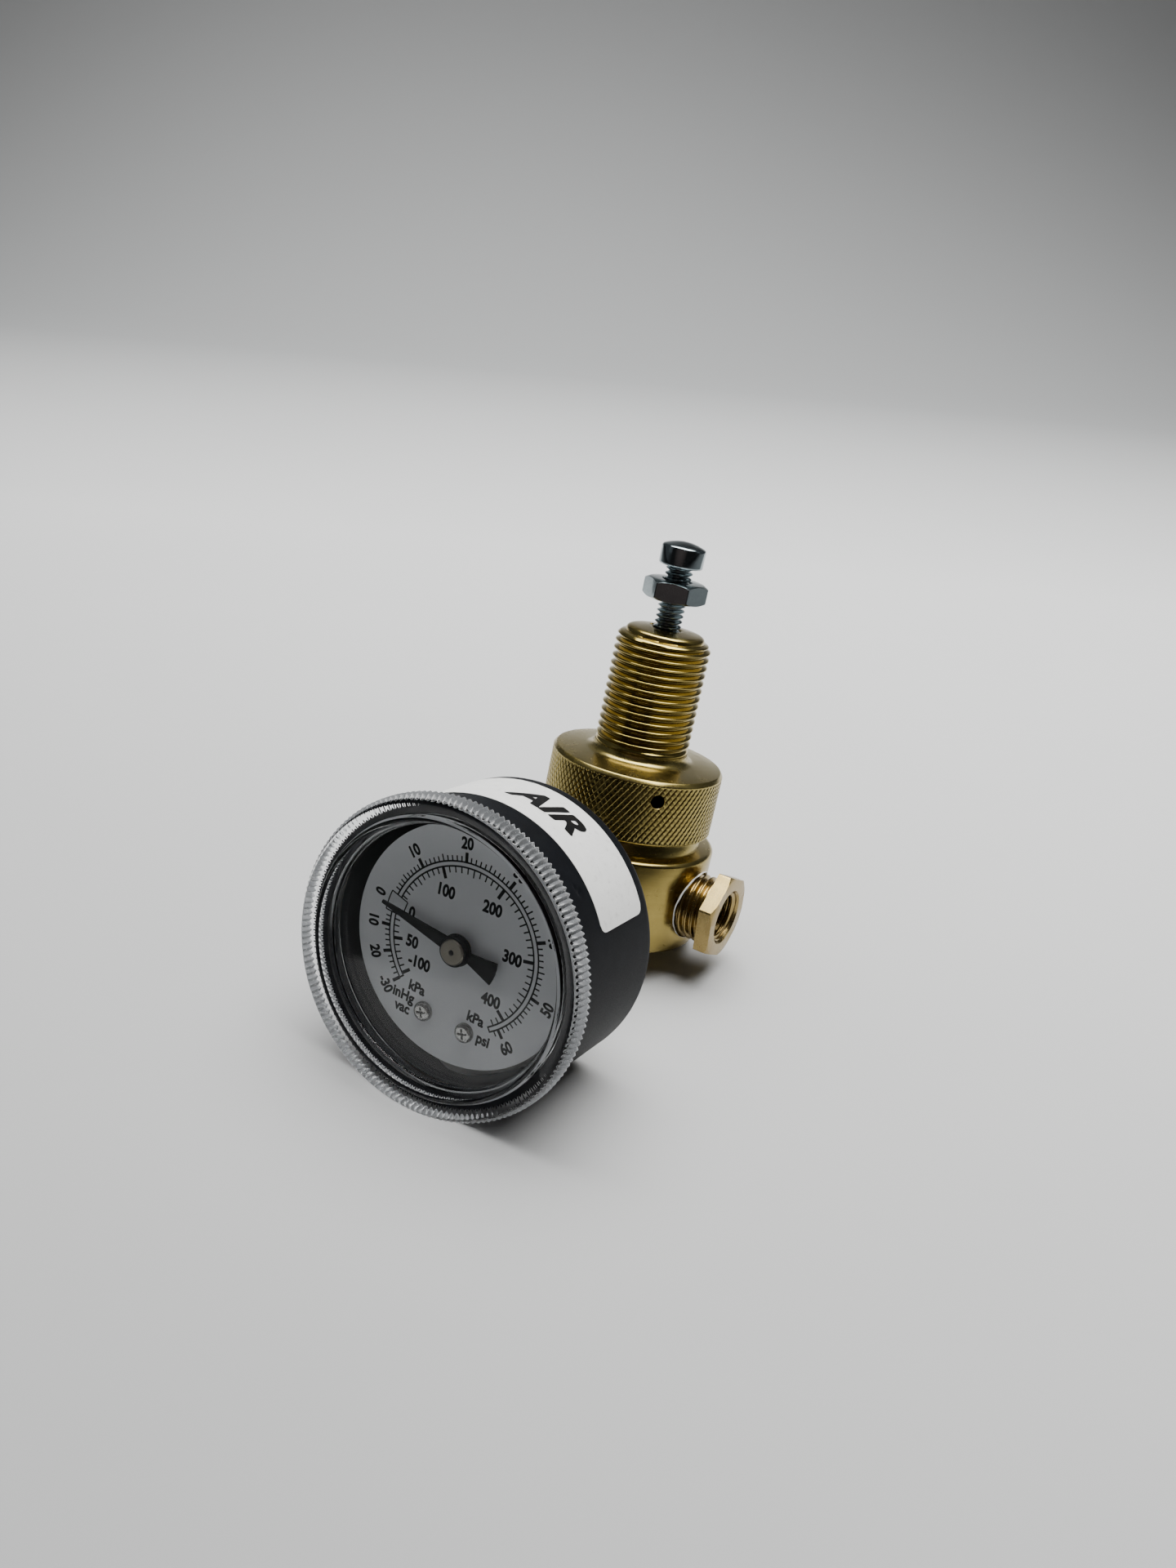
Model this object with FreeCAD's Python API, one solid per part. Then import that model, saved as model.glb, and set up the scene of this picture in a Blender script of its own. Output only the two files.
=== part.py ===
import FreeCAD, Part
# Panel-mounted miniature air pressure regulator with a centre-back dial gauge.
#
# Frame: the regulator's axis is +Z, the gauge faces -Y and the bushed outlet port faces +X.
# The origin is on the regulator's axis where the bonnet's panel thread begins above the shoulder.
# Lengths are in millimetres and angles in degrees.  Each function returns the solid of one node.
# Threads are plain cylinders at their major radius where they show, and at the pitch radius
# where a male and a female thread are screwed together.
import os
import math

V = FreeCAD.Vector
X_AXIS, Y_AXIS, Z_AXIS = V(1, 0, 0), V(0, 1, 0), V(0, 0, 1)
ORIGIN = V(0, 0, 0)

# ---- levels on the regulator's axis ----
BODY_BOTTOM = -37.6
PORT_Z = -28.4
BODY_TOP = -18.3
CAP_BOTTOM = -15.2
KNURL_TOP = -3.0
CAP_TOP = -2.25
PANEL_LENGTH = 22.6
DOME_TOP = 24.4

# ---- body and bonnet ----
BODY_R = 19.05
CAP_R = 17.46
NECK_R = 15.9
PANEL_R = 9.525
DIAPHRAGM_SEAT_Z = -21.3
DIAPHRAGM_T = 0.7
SLIP_RING_T = 0.3
BONNET_BOTTOM = DIAPHRAGM_SEAT_Z + DIAPHRAGM_T + SLIP_RING_T
CLAMP_R = 13.3
BONNET_WIDE_R = 11.0
SPRING_BORE_R = 7.0
SPRING_BORE_TOP = 15.5
VENT_R = 1.39
VENT_Z = -6.1
VENT_ANGLE = -48.0

# ---- body bores, from the diaphragm down ----
RELIEF_R, RELIEF_FLOOR = 13.2, -21.7
WELL_R, WELL_FLOOR = 9.3, -25.5
SEAT_R, SEAT_BOTTOM = 4.0, -28.2
CHAMBER_R, CHAMBER_FLOOR = 5.5, -33.6
PLUG_R = 7.0
PLUG_RECESS = 0.3

# ---- 1/4 NPT ports: the same size on three sides, blind towards the middle ----
PORT_PITCH_R = 6.25
PORT_MAJOR_R = 6.86
PORT_END = 10.6
PORT_MOUTH = 17.3
TAPE_R = 7.25
THREAD_GAP = 0.03
TAPE_PROUD = 0.3

# ---- adjusting screw (No. 12-24) and lock nut ----
SCREW_R = 2.745
SCREW_HOLE_R = 2.80
SCREW_TIP = 11.0
HEAD_BOTTOM, HEAD_EDGE, HEAD_TOP = 36.7, 40.3, 41.5
HEAD_R = 4.35
NUT_AF = 11.11
NUT_BOTTOM, NUT_T = 29.9, 3.97
NUT_FLAT_ANGLE = -72.0

# ---- spring, buttons and valve ----
BUTTON_TOP = 12.0
BUTTON_BOTTOM = 9.5
PLATE_TOP = -19.0
PLATE_R = 8.6
WASHER_BOTTOM = -22.5
PILOT_R = 4.2
RANGE_WIRE_R = 0.7
RANGE_COIL_R = 5.3
RANGE_PITCH = 3.2
STEM_R = 0.9
LIP_BOTTOM = -28.6
POPPET_SEAL_T = 0.6
POPPET_BOTTOM = -31.0
TAIL_R = 1.2
TAIL_END = -34.6
GUIDE_R = 1.25
O_RING_Z, O_RING_R, O_RING_WIRE_R = -34.6, 6.42, 0.56

# ---- hexagon bushing, 1/4 NPT male by 1/8 NPT female, measured along +X ----
BUSHING_END = 11.2
HEX_BACK, HEX_FACE = 23.3, 26.3
BUSHING_AF = 15.875
BUSHING_BORE_R = 4.75
BUSHING_CORNER_ANGLE = 42.0

# ---- gauge, in its own frame: x right, y up, z out of the dial towards -Y of the row ----
GAUGE_TURN = -3.0
CASE_BACK, CASE_FRONT = 36.0, 61.2
CASE_R, CASE_WALL = 26.7, 0.8
CASE_CORNER_R = 1.8
STEM_END = 10.9
GAUGE_HEX_BACK = 27.0
GAUGE_HEX_AF = 14.29
SPIGOT_R, SPIGOT_BACK = 8.4, 35.3
FLANGE_R, FLANGE_FRONT = 14.0, 40.0
BLOCK_FRONT = 49.5
RIM_R = 28.5
RIM_BACK, RIM_FRONT, LENS_FRONT = 61.9, 64.7, 66.0
WINDOW_R, WINDOW_BACK, WINDOW_FRONT = 23.5, 60.3, 62.3
SKIRT_R, SKIRT_INNER_R, SKIRT_BACK = 25.6, 24.6, 57.5
DIAL_R, DIAL_FRONT, DIAL_T = 22.0, 55.6, 0.5
DIAL_SCREW_X, DIAL_SCREW_Y = 4.47, -14.7
DIAL_SCREW_HEAD_R = 1.8

# ---- bourdon tube and movement ----
TUBE_R, TUBE_HALF_T, TUBE_WALL = 18.0, 0.9, 0.25
TUBE_BACK, TUBE_FRONT = 42.0, 48.0
TUBE_ROOT_ANGLE, TUBE_SWEEP = -92.5, 267.5
MODULE = 0.25
PINION_TEETH = 10
SECTOR_TEETH = 90
PIVOT_ANGLE = -25.0
PIVOT_R = MODULE * (PINION_TEETH + SECTOR_TEETH) / 2
TAIL_ANGLE, TAIL_LENGTH = -60.0, 4.5
TIP_PIN = V(18.0, -2.6, 0)
BACK_PLATE, FRONT_PLATE, PLATE_T = 49.5, 53.9, 0.8
PILLARS = (V(-4.5, -4.5, 0), V(10.9, 4.5, 0))
MOVEMENT_SCREWS = (V(-0.5, -6.8, 0), V(5.0, -6.8, 0))
GEAR_BACK, GEAR_T = 52.2, 0.8
LINK_BACK, LINK_T = 51.2, 0.6

# ---- pointer ----
POINTER_ANGLE = 172.5
POINTER_BACK, POINTER_T = 57.0, 0.35
POINTER_LENGTH, TAIL_RADIUS = 16.8, 8.3
HUB_R, HUB_FRONT = 2.35, 58.9

# ---- sticker on the case, angles in the gauge's frame ----
LABEL_FROM, LABEL_TO = 28.0, 132.0
LABEL_BACK, LABEL_FRONT = 39.6, 54.2
LABEL_T = 0.12
LABEL_CORNER_R = 1.6


# ---------------------------------------------------------------- helpers
def cylinder(r, z0, z1, x=0.0, y=0.0):
    return Part.makeCylinder(r, z1 - z0, V(x, y, z0), Z_AXIS)


def tube(r_out, r_in, z0, z1, x=0.0, y=0.0):
    return cylinder(r_out, z0, z1, x, y).cut(cylinder(r_in, z0 - 1, z1 + 1, x, y))


def turned(points, arcs=()):
    """Revolve an outline of (radius, z) points about Z.

    arcs maps the index of an edge to the middle point of the arc that replaces it.
    """
    middles = dict(arcs)
    edges = []
    for i, (r, z) in enumerate(points):
        r2, z2 = points[(i + 1) % len(points)]
        start, end = V(r, 0, z), V(r2, 0, z2)
        if i in middles:
            rm, zm = middles[i]
            edges.append(Part.Arc(start, V(rm, 0, zm), end).toShape())
        else:
            edges.append(Part.LineSegment(start, end).toShape())
    return Part.Face(Part.Wire(edges)).revolve(ORIGIN, Z_AXIS, 360)


def dome_middle(r_edge, z_edge, z_top):
    """Point half-way out on a dome whose sphere is centred on the axis."""
    rise = z_top - z_edge
    sphere_r = (r_edge ** 2 + rise ** 2) / (2 * rise)
    r = r_edge / 2
    return r, z_top - sphere_r + math.sqrt(sphere_r ** 2 - r ** 2)


def plate(points, z0, z1):
    outline = [V(x, y, z0) for x, y in points]
    return Part.Face(Part.makePolygon(outline + outline[:1])).extrude(V(0, 0, z1 - z0))


def polar(radius, angle):
    a = math.radians(angle)
    return V(radius * math.cos(a), radius * math.sin(a), 0)


def hexagon(across_flats, z0, z1, corner_angle):
    corner_r = across_flats / 2 / math.cos(math.pi / 6)
    corners = [polar(corner_r, corner_angle + 60 * i) for i in range(6)]
    return plate([(c.x, c.y) for c in corners], z0, z1)


def chamfered_hexagon(across_flats, z0, z1, corner_angle, ends, face_r=None):
    """Hexagon whose corners are turned off by a 30 degree cone at the named ends."""
    face_r = face_r or across_flats / 2
    corner_r = across_flats / 2 / math.cos(math.pi / 6) + 0.5
    drop = (corner_r - face_r) * math.tan(math.radians(30))
    outline = [(0, z0), (face_r, z0), (corner_r, z0 + drop), (corner_r, z1 - drop), (face_r, z1), (0, z1)]
    if "back" not in ends:
        outline[1:3] = [(corner_r, z0)]
    if "front" not in ends:
        outline[-3:-1] = [(corner_r, z1)]
    return hexagon(across_flats, z0, z1, corner_angle).common(turned(outline))


def coil(radius, wire_r, z0, z1, pitch):
    """Round-wire helix whose wire stays between the levels z0 and z1."""
    helix = Part.makeHelix(pitch, z1 - z0 - 2 * wire_r, radius)
    helix.translate(V(0, 0, z0 + wire_r))
    section = Part.Wire(Part.makeCircle(wire_r, V(radius, 0, z0 + wire_r), Y_AXIS))
    return Part.Wire(helix.Edges).makePipeShell([section], True, True)


def to_outlet(shape):
    """Place a shape turned about its own Z onto the outlet port's axis, pointing +X."""
    shape = shape.copy()
    shape.rotate(ORIGIN, Y_AXIS, 90)
    shape.translate(V(0, 0, PORT_Z))
    return shape


def to_gauge(shape):
    """Place a shape from the gauge's frame onto the gauge port's axis, pointing -Y."""
    shape = shape.copy()
    shape.rotate(ORIGIN, Z_AXIS, GAUGE_TURN)
    shape.rotate(ORIGIN, X_AXIS, 90)
    shape.translate(V(0, 0, PORT_Z))
    return shape


# ---------------------------------------------------------------- regulator
def port_bore(has_tape):
    """Hole of one 1/4 NPT port, along its own +Z from inside the body to past its surface."""
    bore = cylinder(PORT_PITCH_R, PORT_END, BODY_R + 1)
    if has_tape:
        return bore.fuse(cylinder(TAPE_R, PORT_MOUTH - 0.7, BODY_R + 1))
    mouth = turned([(0, 16.9), (PORT_PITCH_R, 16.9), (PORT_MAJOR_R + 0.4, 17.9),
                    (PORT_MAJOR_R + 0.4, BODY_R + 1), (0, BODY_R + 1)])
    return bore.fuse(mouth)


def body():
    edge = 0.7
    solid = turned([(0, BODY_BOTTOM), (BODY_R - edge, BODY_BOTTOM), (BODY_R, BODY_BOTTOM + edge),
                    (BODY_R, BODY_TOP - edge), (BODY_R - edge, BODY_TOP), (0, BODY_TOP)])
    bores = [
        cylinder(NECK_R + THREAD_GAP, DIAPHRAGM_SEAT_Z, BODY_TOP + 1),
        cylinder(RELIEF_R, RELIEF_FLOOR, DIAPHRAGM_SEAT_Z + 0.1),
        cylinder(WELL_R, WELL_FLOOR, RELIEF_FLOOR + 0.1),
        cylinder(SEAT_R, SEAT_BOTTOM, WELL_FLOOR + 0.1),
        cylinder(CHAMBER_R, CHAMBER_FLOOR, SEAT_BOTTOM + 0.1),
        cylinder(PLUG_R, BODY_BOTTOM - 1, CHAMBER_FLOOR),
    ]
    outlet = to_outlet(port_bore(True))
    gauge = outlet.copy()
    gauge.rotate(ORIGIN, Z_AXIS, -90)
    inlet = to_outlet(port_bore(False))
    inlet.rotate(ORIGIN, Z_AXIS, 180)
    passage_z, passage_r = -24.3, 1.2
    inlet_z, inlet_r = -30.4, 1.5
    low_pressure = Part.makeCylinder(passage_r, 4, V(8, 0, passage_z), X_AXIS)
    to_dial = Part.makeCylinder(passage_r, 4, V(0, -8, passage_z), V(0, -1, 0))
    high_pressure = Part.makeCylinder(inlet_r, 7, V(-4.5, 0, inlet_z), V(-1, 0, 0))
    return solid.cut(bores + [outlet, gauge, inlet, low_pressure, to_dial, high_pressure])


def bonnet():
    """Neck, knurled cap and panel-thread tube in one turned piece."""
    outside = turned(
        [(0, BONNET_BOTTOM), (NECK_R, BONNET_BOTTOM), (NECK_R, CAP_BOTTOM), (CAP_R, CAP_BOTTOM),
         (CAP_R, KNURL_TOP), (16.9, CAP_TOP), (11.0, -1.7), (PANEL_R, -0.2),
         (PANEL_R, PANEL_LENGTH), (8.95, 23.1), (7.8, 23.7), (0, DOME_TOP)],
        arcs={6: (9.95, -1.25), 9: (8.55, 23.5)})
    inside = turned(
        [(0, BONNET_BOTTOM - 1), (CLAMP_R, BONNET_BOTTOM - 1), (CLAMP_R, -15.8), (BONNET_WIDE_R, -15.8),
         (BONNET_WIDE_R, -6.0), (SPRING_BORE_R, -3.5), (SPRING_BORE_R, SPRING_BORE_TOP),
         (SCREW_HOLE_R, SPRING_BORE_TOP), (SCREW_HOLE_R, DOME_TOP + 1), (0, DOME_TOP + 1)])
    vent_way = polar(1.0, VENT_ANGLE)
    vent = Part.makeCylinder(VENT_R, CAP_R, V(0, 0, VENT_Z) + vent_way * 4, vent_way)
    return outside.cut(inside).cut(vent)


def slip_ring():
    z0 = DIAPHRAGM_SEAT_Z + DIAPHRAGM_T
    return tube(NECK_R - 0.05, CLAMP_R, z0, z0 + SLIP_RING_T)


def diaphragm():
    return tube(NECK_R - 0.05, 2.05, DIAPHRAGM_SEAT_Z, DIAPHRAGM_SEAT_Z + DIAPHRAGM_T)


def diaphragm_plate():
    """Disc over the diaphragm, with the spring's pilot above and the rivet stem below."""
    z0 = DIAPHRAGM_SEAT_Z + DIAPHRAGM_T
    return turned([(0, WASHER_BOTTOM), (2.0, WASHER_BOTTOM), (2.0, z0), (PLATE_R, z0), (PLATE_R, PLATE_TOP),
                   (PILOT_R, PLATE_TOP), (PILOT_R - 0.4, PLATE_TOP + 2), (0, PLATE_TOP + 2)])


def diaphragm_washer():
    return tube(5.5, 2.0, WASHER_BOTTOM, DIAPHRAGM_SEAT_Z)


def range_spring():
    return coil(RANGE_COIL_R, RANGE_WIRE_R, PLATE_TOP, BUTTON_BOTTOM, RANGE_PITCH)


def upper_spring_button():
    """Spring rest under the screw, with a flat-bottomed dimple for the screw's tip."""
    return turned([(0, 7.5), (PILOT_R - 0.4, 7.5), (PILOT_R, BUTTON_BOTTOM), (6.6, BUTTON_BOTTOM),
                   (6.6, BUTTON_TOP - 0.4), (6.2, BUTTON_TOP), (3.0, BUTTON_TOP),
                   (2.2, SCREW_TIP), (0, SCREW_TIP)])


def adjusting_screw():
    ease = 0.35
    dome_edge, dome_z = HEAD_R - ease, HEAD_EDGE + ease
    return turned(
        [(0, SCREW_TIP), (1.9, SCREW_TIP), (SCREW_R, SCREW_TIP + 0.9), (SCREW_R, HEAD_BOTTOM),
         (HEAD_R - 0.3, HEAD_BOTTOM), (HEAD_R, HEAD_BOTTOM + 0.3), (HEAD_R, HEAD_EDGE),
         (dome_edge, dome_z), (0, HEAD_TOP)],
        arcs={6: (HEAD_R - 0.1, HEAD_EDGE + 0.25), 7: dome_middle(dome_edge, dome_z, HEAD_TOP)})


def lock_nut():
    top = NUT_BOTTOM + NUT_T
    blank = chamfered_hexagon(NUT_AF, NUT_BOTTOM, top, NUT_FLAT_ANGLE + 30, ("back", "front"))
    return blank.cut(cylinder(SCREW_HOLE_R, NUT_BOTTOM - 1, top + 1))


def valve_seat():
    block = cylinder(SEAT_R - THREAD_GAP, SEAT_BOTTOM, WELL_FLOOR)
    lip = turned([(0, LIP_BOTTOM), (2.0, LIP_BOTTOM), (2.4, SEAT_BOTTOM), (0, SEAT_BOTTOM)])
    return block.fuse(lip).cut(cylinder(1.6, LIP_BOTTOM - 1, WELL_FLOOR + 1)).removeSplitter()


def valve_poppet():
    """Stem, head and tail guide of the valve; its stem touches the washer's rivet."""
    head_top = LIP_BOTTOM - POPPET_SEAL_T
    return turned([(0, TAIL_END), (TAIL_R - 0.3, TAIL_END), (TAIL_R, TAIL_END + 0.3), (TAIL_R, POPPET_BOTTOM),
                   (3.0, POPPET_BOTTOM), (3.0, head_top), (STEM_R, head_top),
                   (STEM_R, WASHER_BOTTOM), (0, WASHER_BOTTOM)])


def poppet_seal():
    return tube(2.8, STEM_R, LIP_BOTTOM - POPPET_SEAL_T, LIP_BOTTOM)


def valve_spring():
    return coil(2.0, 0.25, CHAMBER_FLOOR, POPPET_BOTTOM, 0.75)


def bottom_plug():
    low = BODY_BOTTOM + PLUG_RECESS
    r = PLUG_R - THREAD_GAP
    blank = turned([(0, low), (r - 0.4, low), (r, low + 0.4), (r, CHAMBER_FLOOR), (0, CHAMBER_FLOOR)])
    groove = tube(PLUG_R + 1, O_RING_R - O_RING_WIRE_R, O_RING_Z - 0.6, O_RING_Z + 0.6)
    guide = cylinder(GUIDE_R, -35.7, CHAMBER_FLOOR + 1)
    slot = Part.makeBox(2 * PLUG_R + 2, 1.4, 1.0, V(-PLUG_R - 1, -0.7, low))
    return blank.cut(groove).cut(guide).cut(slot)


def bottom_plug_o_ring():
    return Part.makeTorus(O_RING_R, O_RING_WIRE_R, V(0, 0, O_RING_Z))


# ---------------------------------------------------------------- ports
def port_thread(end, shoulder):
    """Male 1/4 NPT thread as two plain steps: screwed in, then showing outside the body."""
    hidden_r = PORT_PITCH_R - THREAD_GAP
    shown_r = PORT_MAJOR_R - 0.04
    return turned([(0, end), (hidden_r - 0.6, end), (hidden_r, end + 0.6), (hidden_r, PORT_MOUTH),
                   (shown_r, PORT_MOUTH), (shown_r, shoulder), (0, shoulder)])


def seal_tape():
    """Rim of thread tape squeezed out round a port, following the body's round side."""
    sleeve = tube(TAPE_R - 0.01, PORT_MAJOR_R - 0.03, PORT_MOUTH - 0.7, BODY_R + 2)
    sleeve.rotate(ORIGIN, Y_AXIS, 90)
    sleeve = sleeve.common(cylinder(BODY_R + TAPE_PROUD, -20, 20))
    sleeve.translate(V(0, 0, PORT_Z))
    return sleeve


def port_bushing():
    thread = port_thread(BUSHING_END, HEX_BACK)
    head = chamfered_hexagon(BUSHING_AF, HEX_BACK, HEX_FACE, 90 + BUSHING_CORNER_ANGLE, ("front",),
                             face_r=BUSHING_AF / 2 + 0.4)
    bore = cylinder(BUSHING_BORE_R, 16.5, HEX_FACE + 1).fuse(cylinder(3.4, BUSHING_END - 1, 17.0))
    countersink = turned([(0, HEX_FACE - 0.65), (BUSHING_BORE_R, HEX_FACE - 0.65),
                          (BUSHING_BORE_R + 0.65, HEX_FACE), (0, HEX_FACE)])
    return to_outlet(thread.fuse(head).cut(bore).cut(countersink).removeSplitter())


def bushing_seal_tape():
    return seal_tape()


def stem_seal_tape():
    ring = seal_tape()
    ring.rotate(ORIGIN, Z_AXIS, -90)
    return ring


# ---------------------------------------------------------------- gauge shell
def case_screw_places():
    return [polar(11.0, 90 + 120 * i) for i in range(3)]


def gauge_case():
    c, w = CASE_CORNER_R, CASE_WALL
    middle = c * (1 - math.sqrt(0.5))
    outside = turned([(0, CASE_BACK), (CASE_R - c, CASE_BACK), (CASE_R, CASE_BACK + c),
                      (CASE_R, CASE_FRONT), (0, CASE_FRONT)],
                     arcs={1: (CASE_R - middle, CASE_BACK + middle)})
    inner_c = c - w
    inner_middle = inner_c * (1 - math.sqrt(0.5))
    r_in, back_in = CASE_R - w, CASE_BACK + w
    inside = turned([(0, back_in), (r_in - inner_c, back_in), (r_in, back_in + inner_c),
                     (r_in, CASE_FRONT + 1), (0, CASE_FRONT + 1)],
                    arcs={1: (r_in - inner_middle, back_in + inner_middle)})
    shell = outside.cut(inside).cut(cylinder(SPIGOT_R + 0.05, CASE_BACK - 1, CASE_BACK + 2))
    for place in case_screw_places():
        shell = shell.cut(cylinder(1.6, CASE_BACK - 1, CASE_BACK + 2, place.x, place.y))
    return to_gauge(shell)


def gauge_socket():
    """Stem, wrench hexagon, flange inside the case and the block that holds the tube."""
    stem = port_thread(STEM_END, GAUGE_HEX_BACK)
    wrench = chamfered_hexagon(GAUGE_HEX_AF, GAUGE_HEX_BACK, SPIGOT_BACK, 30, ("back",))
    inner_back = CASE_BACK + CASE_WALL
    spigot = cylinder(SPIGOT_R, SPIGOT_BACK, inner_back)
    flange = cylinder(FLANGE_R, inner_back, FLANGE_FRONT)
    boss = cylinder(7.5, FLANGE_FRONT, BLOCK_FRONT)
    block = plate([(-7, -20.5), (7, -20.5), (7, -2), (-7, -2)], FLANGE_FRONT, BLOCK_FRONT)
    solid = stem.fuse(wrench).fuse(spigot).fuse(flange).fuse(boss).fuse(block)
    solid = solid.cut(cylinder(1.5, STEM_END - 1, 45.0))
    passage = Part.makeCylinder(1.0, TUBE_R + 0.3, V(0, 0, 44.5), V(0, -1, 0))
    solid = solid.cut(passage).cut(tube_envelope(0.0))
    for place in case_screw_places():
        solid = solid.cut(cylinder(1.27, inner_back - 1, FLANGE_FRONT + 1, place.x, place.y))
    for place in MOVEMENT_SCREWS:
        solid = solid.cut(cylinder(0.82, BLOCK_FRONT - 3.2, BLOCK_FRONT + 1, place.x, place.y))
    return to_gauge(solid.removeSplitter())


def case_screws():
    screws = []
    for place in case_screw_places():
        head_back = CASE_BACK - 1.4
        screw = turned([(0, head_back), (1.5, head_back), (2.3, CASE_BACK - 0.7), (2.3, CASE_BACK),
                        (1.25, CASE_BACK),
                        (1.25, FLANGE_FRONT - 0.2), (0, FLANGE_FRONT - 0.2)],
                       arcs={1: (2.1, CASE_BACK - 1.15)})
        slot = Part.makeBox(6, 0.6, 0.6, V(-3, -0.3, head_back - 0.01))
        screw = screw.cut(slot)
        screw.translate(place)
        screws.append(to_gauge(screw))
    return Part.makeCompound(screws)


def gauge_lens():
    """Clear moulding: toothed rim, sloping bezel, raised lip, sunk window and inner skirt."""
    profile = [(0, WINDOW_FRONT), (WINDOW_R, WINDOW_FRONT), (24.2, 65.3), (24.7, 65.5), (25.0, 65.0),
               (27.3, LENS_FRONT), (RIM_R, RIM_FRONT), (RIM_R, RIM_BACK), (SKIRT_R, RIM_BACK),
               (SKIRT_R, SKIRT_BACK), (SKIRT_INNER_R, SKIRT_BACK),
               (SKIRT_INNER_R, WINDOW_BACK), (0, WINDOW_BACK)]
    return to_gauge(turned(profile))


def lens_gasket():
    return to_gauge(tube(CASE_R - 0.05, SKIRT_R + 0.1, CASE_FRONT, RIM_BACK))


def gauge_label():
    """Thin sticker wrapped round the case, with rounded corners at both ends."""
    shell = tube(CASE_R + LABEL_T, CASE_R, LABEL_BACK, LABEL_FRONT)
    reach = 60.0
    edge = [polar(reach, LABEL_FROM), polar(reach * 2, (LABEL_FROM + LABEL_TO) / 2), polar(reach, LABEL_TO)]
    wedge = plate([(0, 0)] + [(p.x, p.y) for p in edge], LABEL_BACK - 1, LABEL_FRONT + 1)
    sticker = shell.common(wedge)
    corners = [e for e in sticker.Edges if abs(e.Length - LABEL_T) < 0.001]
    return to_gauge(sticker.makeFillet(LABEL_CORNER_R, corners))


# ---------------------------------------------------------------- gauge works
def tube_envelope(shrink):
    """C-shaped bar of the bourdon tube; shrink takes off its wall for the hollow."""
    ring = tube(TUBE_R + TUBE_HALF_T - shrink, TUBE_R - TUBE_HALF_T + shrink,
                TUBE_BACK + shrink, TUBE_FRONT - shrink)
    gap_from = TUBE_ROOT_ANGLE
    gap_to = TUBE_ROOT_ANGLE - TUBE_SWEEP + 360
    corners = [polar(60, gap_from + (gap_to - gap_from) * i / 4) for i in range(5)]
    return ring.cut(plate([(0, 0)] + [(p.x, p.y) for p in corners], 0, 60))


def bourdon_tube():
    """Flattened phosphor-bronze tube, open at its root in the block and closed by the tip."""
    return to_gauge(tube_envelope(0.0).cut(tube_envelope(TUBE_WALL)))


def sector_pivot():
    return polar(PIVOT_R, PIVOT_ANGLE)


def sector_pin():
    return sector_pivot() + polar(TAIL_LENGTH, TAIL_ANGLE)


def tube_tip():
    """Cap brazed on the tube's free end, with a lug reaching forward to the link."""
    end_face = Part.makeBox(2 * TUBE_HALF_T, 1.2, TUBE_FRONT - TUBE_BACK,
                            V(TUBE_R - TUBE_HALF_T, -1.2, TUBE_BACK))
    lug = plate([(TUBE_R - 0.9, -4.0), (TUBE_R + 0.9, -4.0), (TUBE_R + 0.9, -1.0), (TUBE_R - 0.9, -1.0)],
                TUBE_BACK, LINK_BACK - 0.1)
    pin_hole = cylinder(0.4, LINK_BACK - 2, LINK_BACK + 1, TIP_PIN.x, TIP_PIN.y)
    return to_gauge(end_face.fuse(lug).cut(pin_hole).removeSplitter())


def round_bar(a, b, r, z0, z1):
    """Flat bar with round ends from a to b."""
    along = b - a
    side = V(-along.y, along.x, 0).normalize() * r
    corners = [a + side, a - side, b - side, b + side]
    bar = plate([(c.x, c.y) for c in corners], z0, z1)
    return bar.fuse(cylinder(r, z0, z1, a.x, a.y)).fuse(cylinder(r, z0, z1, b.x, b.y)).removeSplitter()


def link():
    bar = round_bar(sector_pin(), TIP_PIN, 0.8, LINK_BACK, LINK_BACK + LINK_T)
    for place in (sector_pin(), TIP_PIN):
        bar = bar.cut(cylinder(0.45, 40, 60, place.x, place.y))
    return to_gauge(bar)


def link_pin(place, z0, z1, head_z):
    shank = cylinder(0.4, z0, z1, place.x, place.y)
    return to_gauge(shank.fuse(cylinder(0.7, head_z, head_z + 0.3, place.x, place.y)).removeSplitter())


def tip_link_pin():
    front = LINK_BACK + LINK_T
    return link_pin(TIP_PIN, LINK_BACK - 2, front + 0.05, front + 0.05)


def sector_link_pin():
    return link_pin(sector_pin(), LINK_BACK - 0.05, GEAR_BACK + GEAR_T, LINK_BACK - 0.35)


def tooth_points(teeth, middle_angle, addendum, dedendum, backlash):
    """Outline of one involute tooth as (x, y) points, from its right root to its left root."""
    pitch_r = MODULE * teeth / 2
    base_r = pitch_r * math.cos(math.radians(20))
    root_r, tip_r = pitch_r - dedendum, pitch_r + addendum
    involute = lambda r: math.tan(math.acos(base_r / r)) - math.acos(base_r / r)
    half_pitch = math.pi / (2 * teeth) - backlash / pitch_r
    start_r = max(base_r, root_r)
    radii = [start_r + (tip_r - start_r) * i / 3 for i in range(4)]
    flank = [(root_r, half_pitch + involute(pitch_r))]
    flank += [(r, half_pitch + involute(pitch_r) - involute(r)) for r in radii]
    right = [polar(r, middle_angle - math.degrees(a)) for r, a in flank]
    left = [polar(r, middle_angle + math.degrees(a)) for r, a in reversed(flank)]
    return [(p.x, p.y) for p in right + left]


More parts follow.
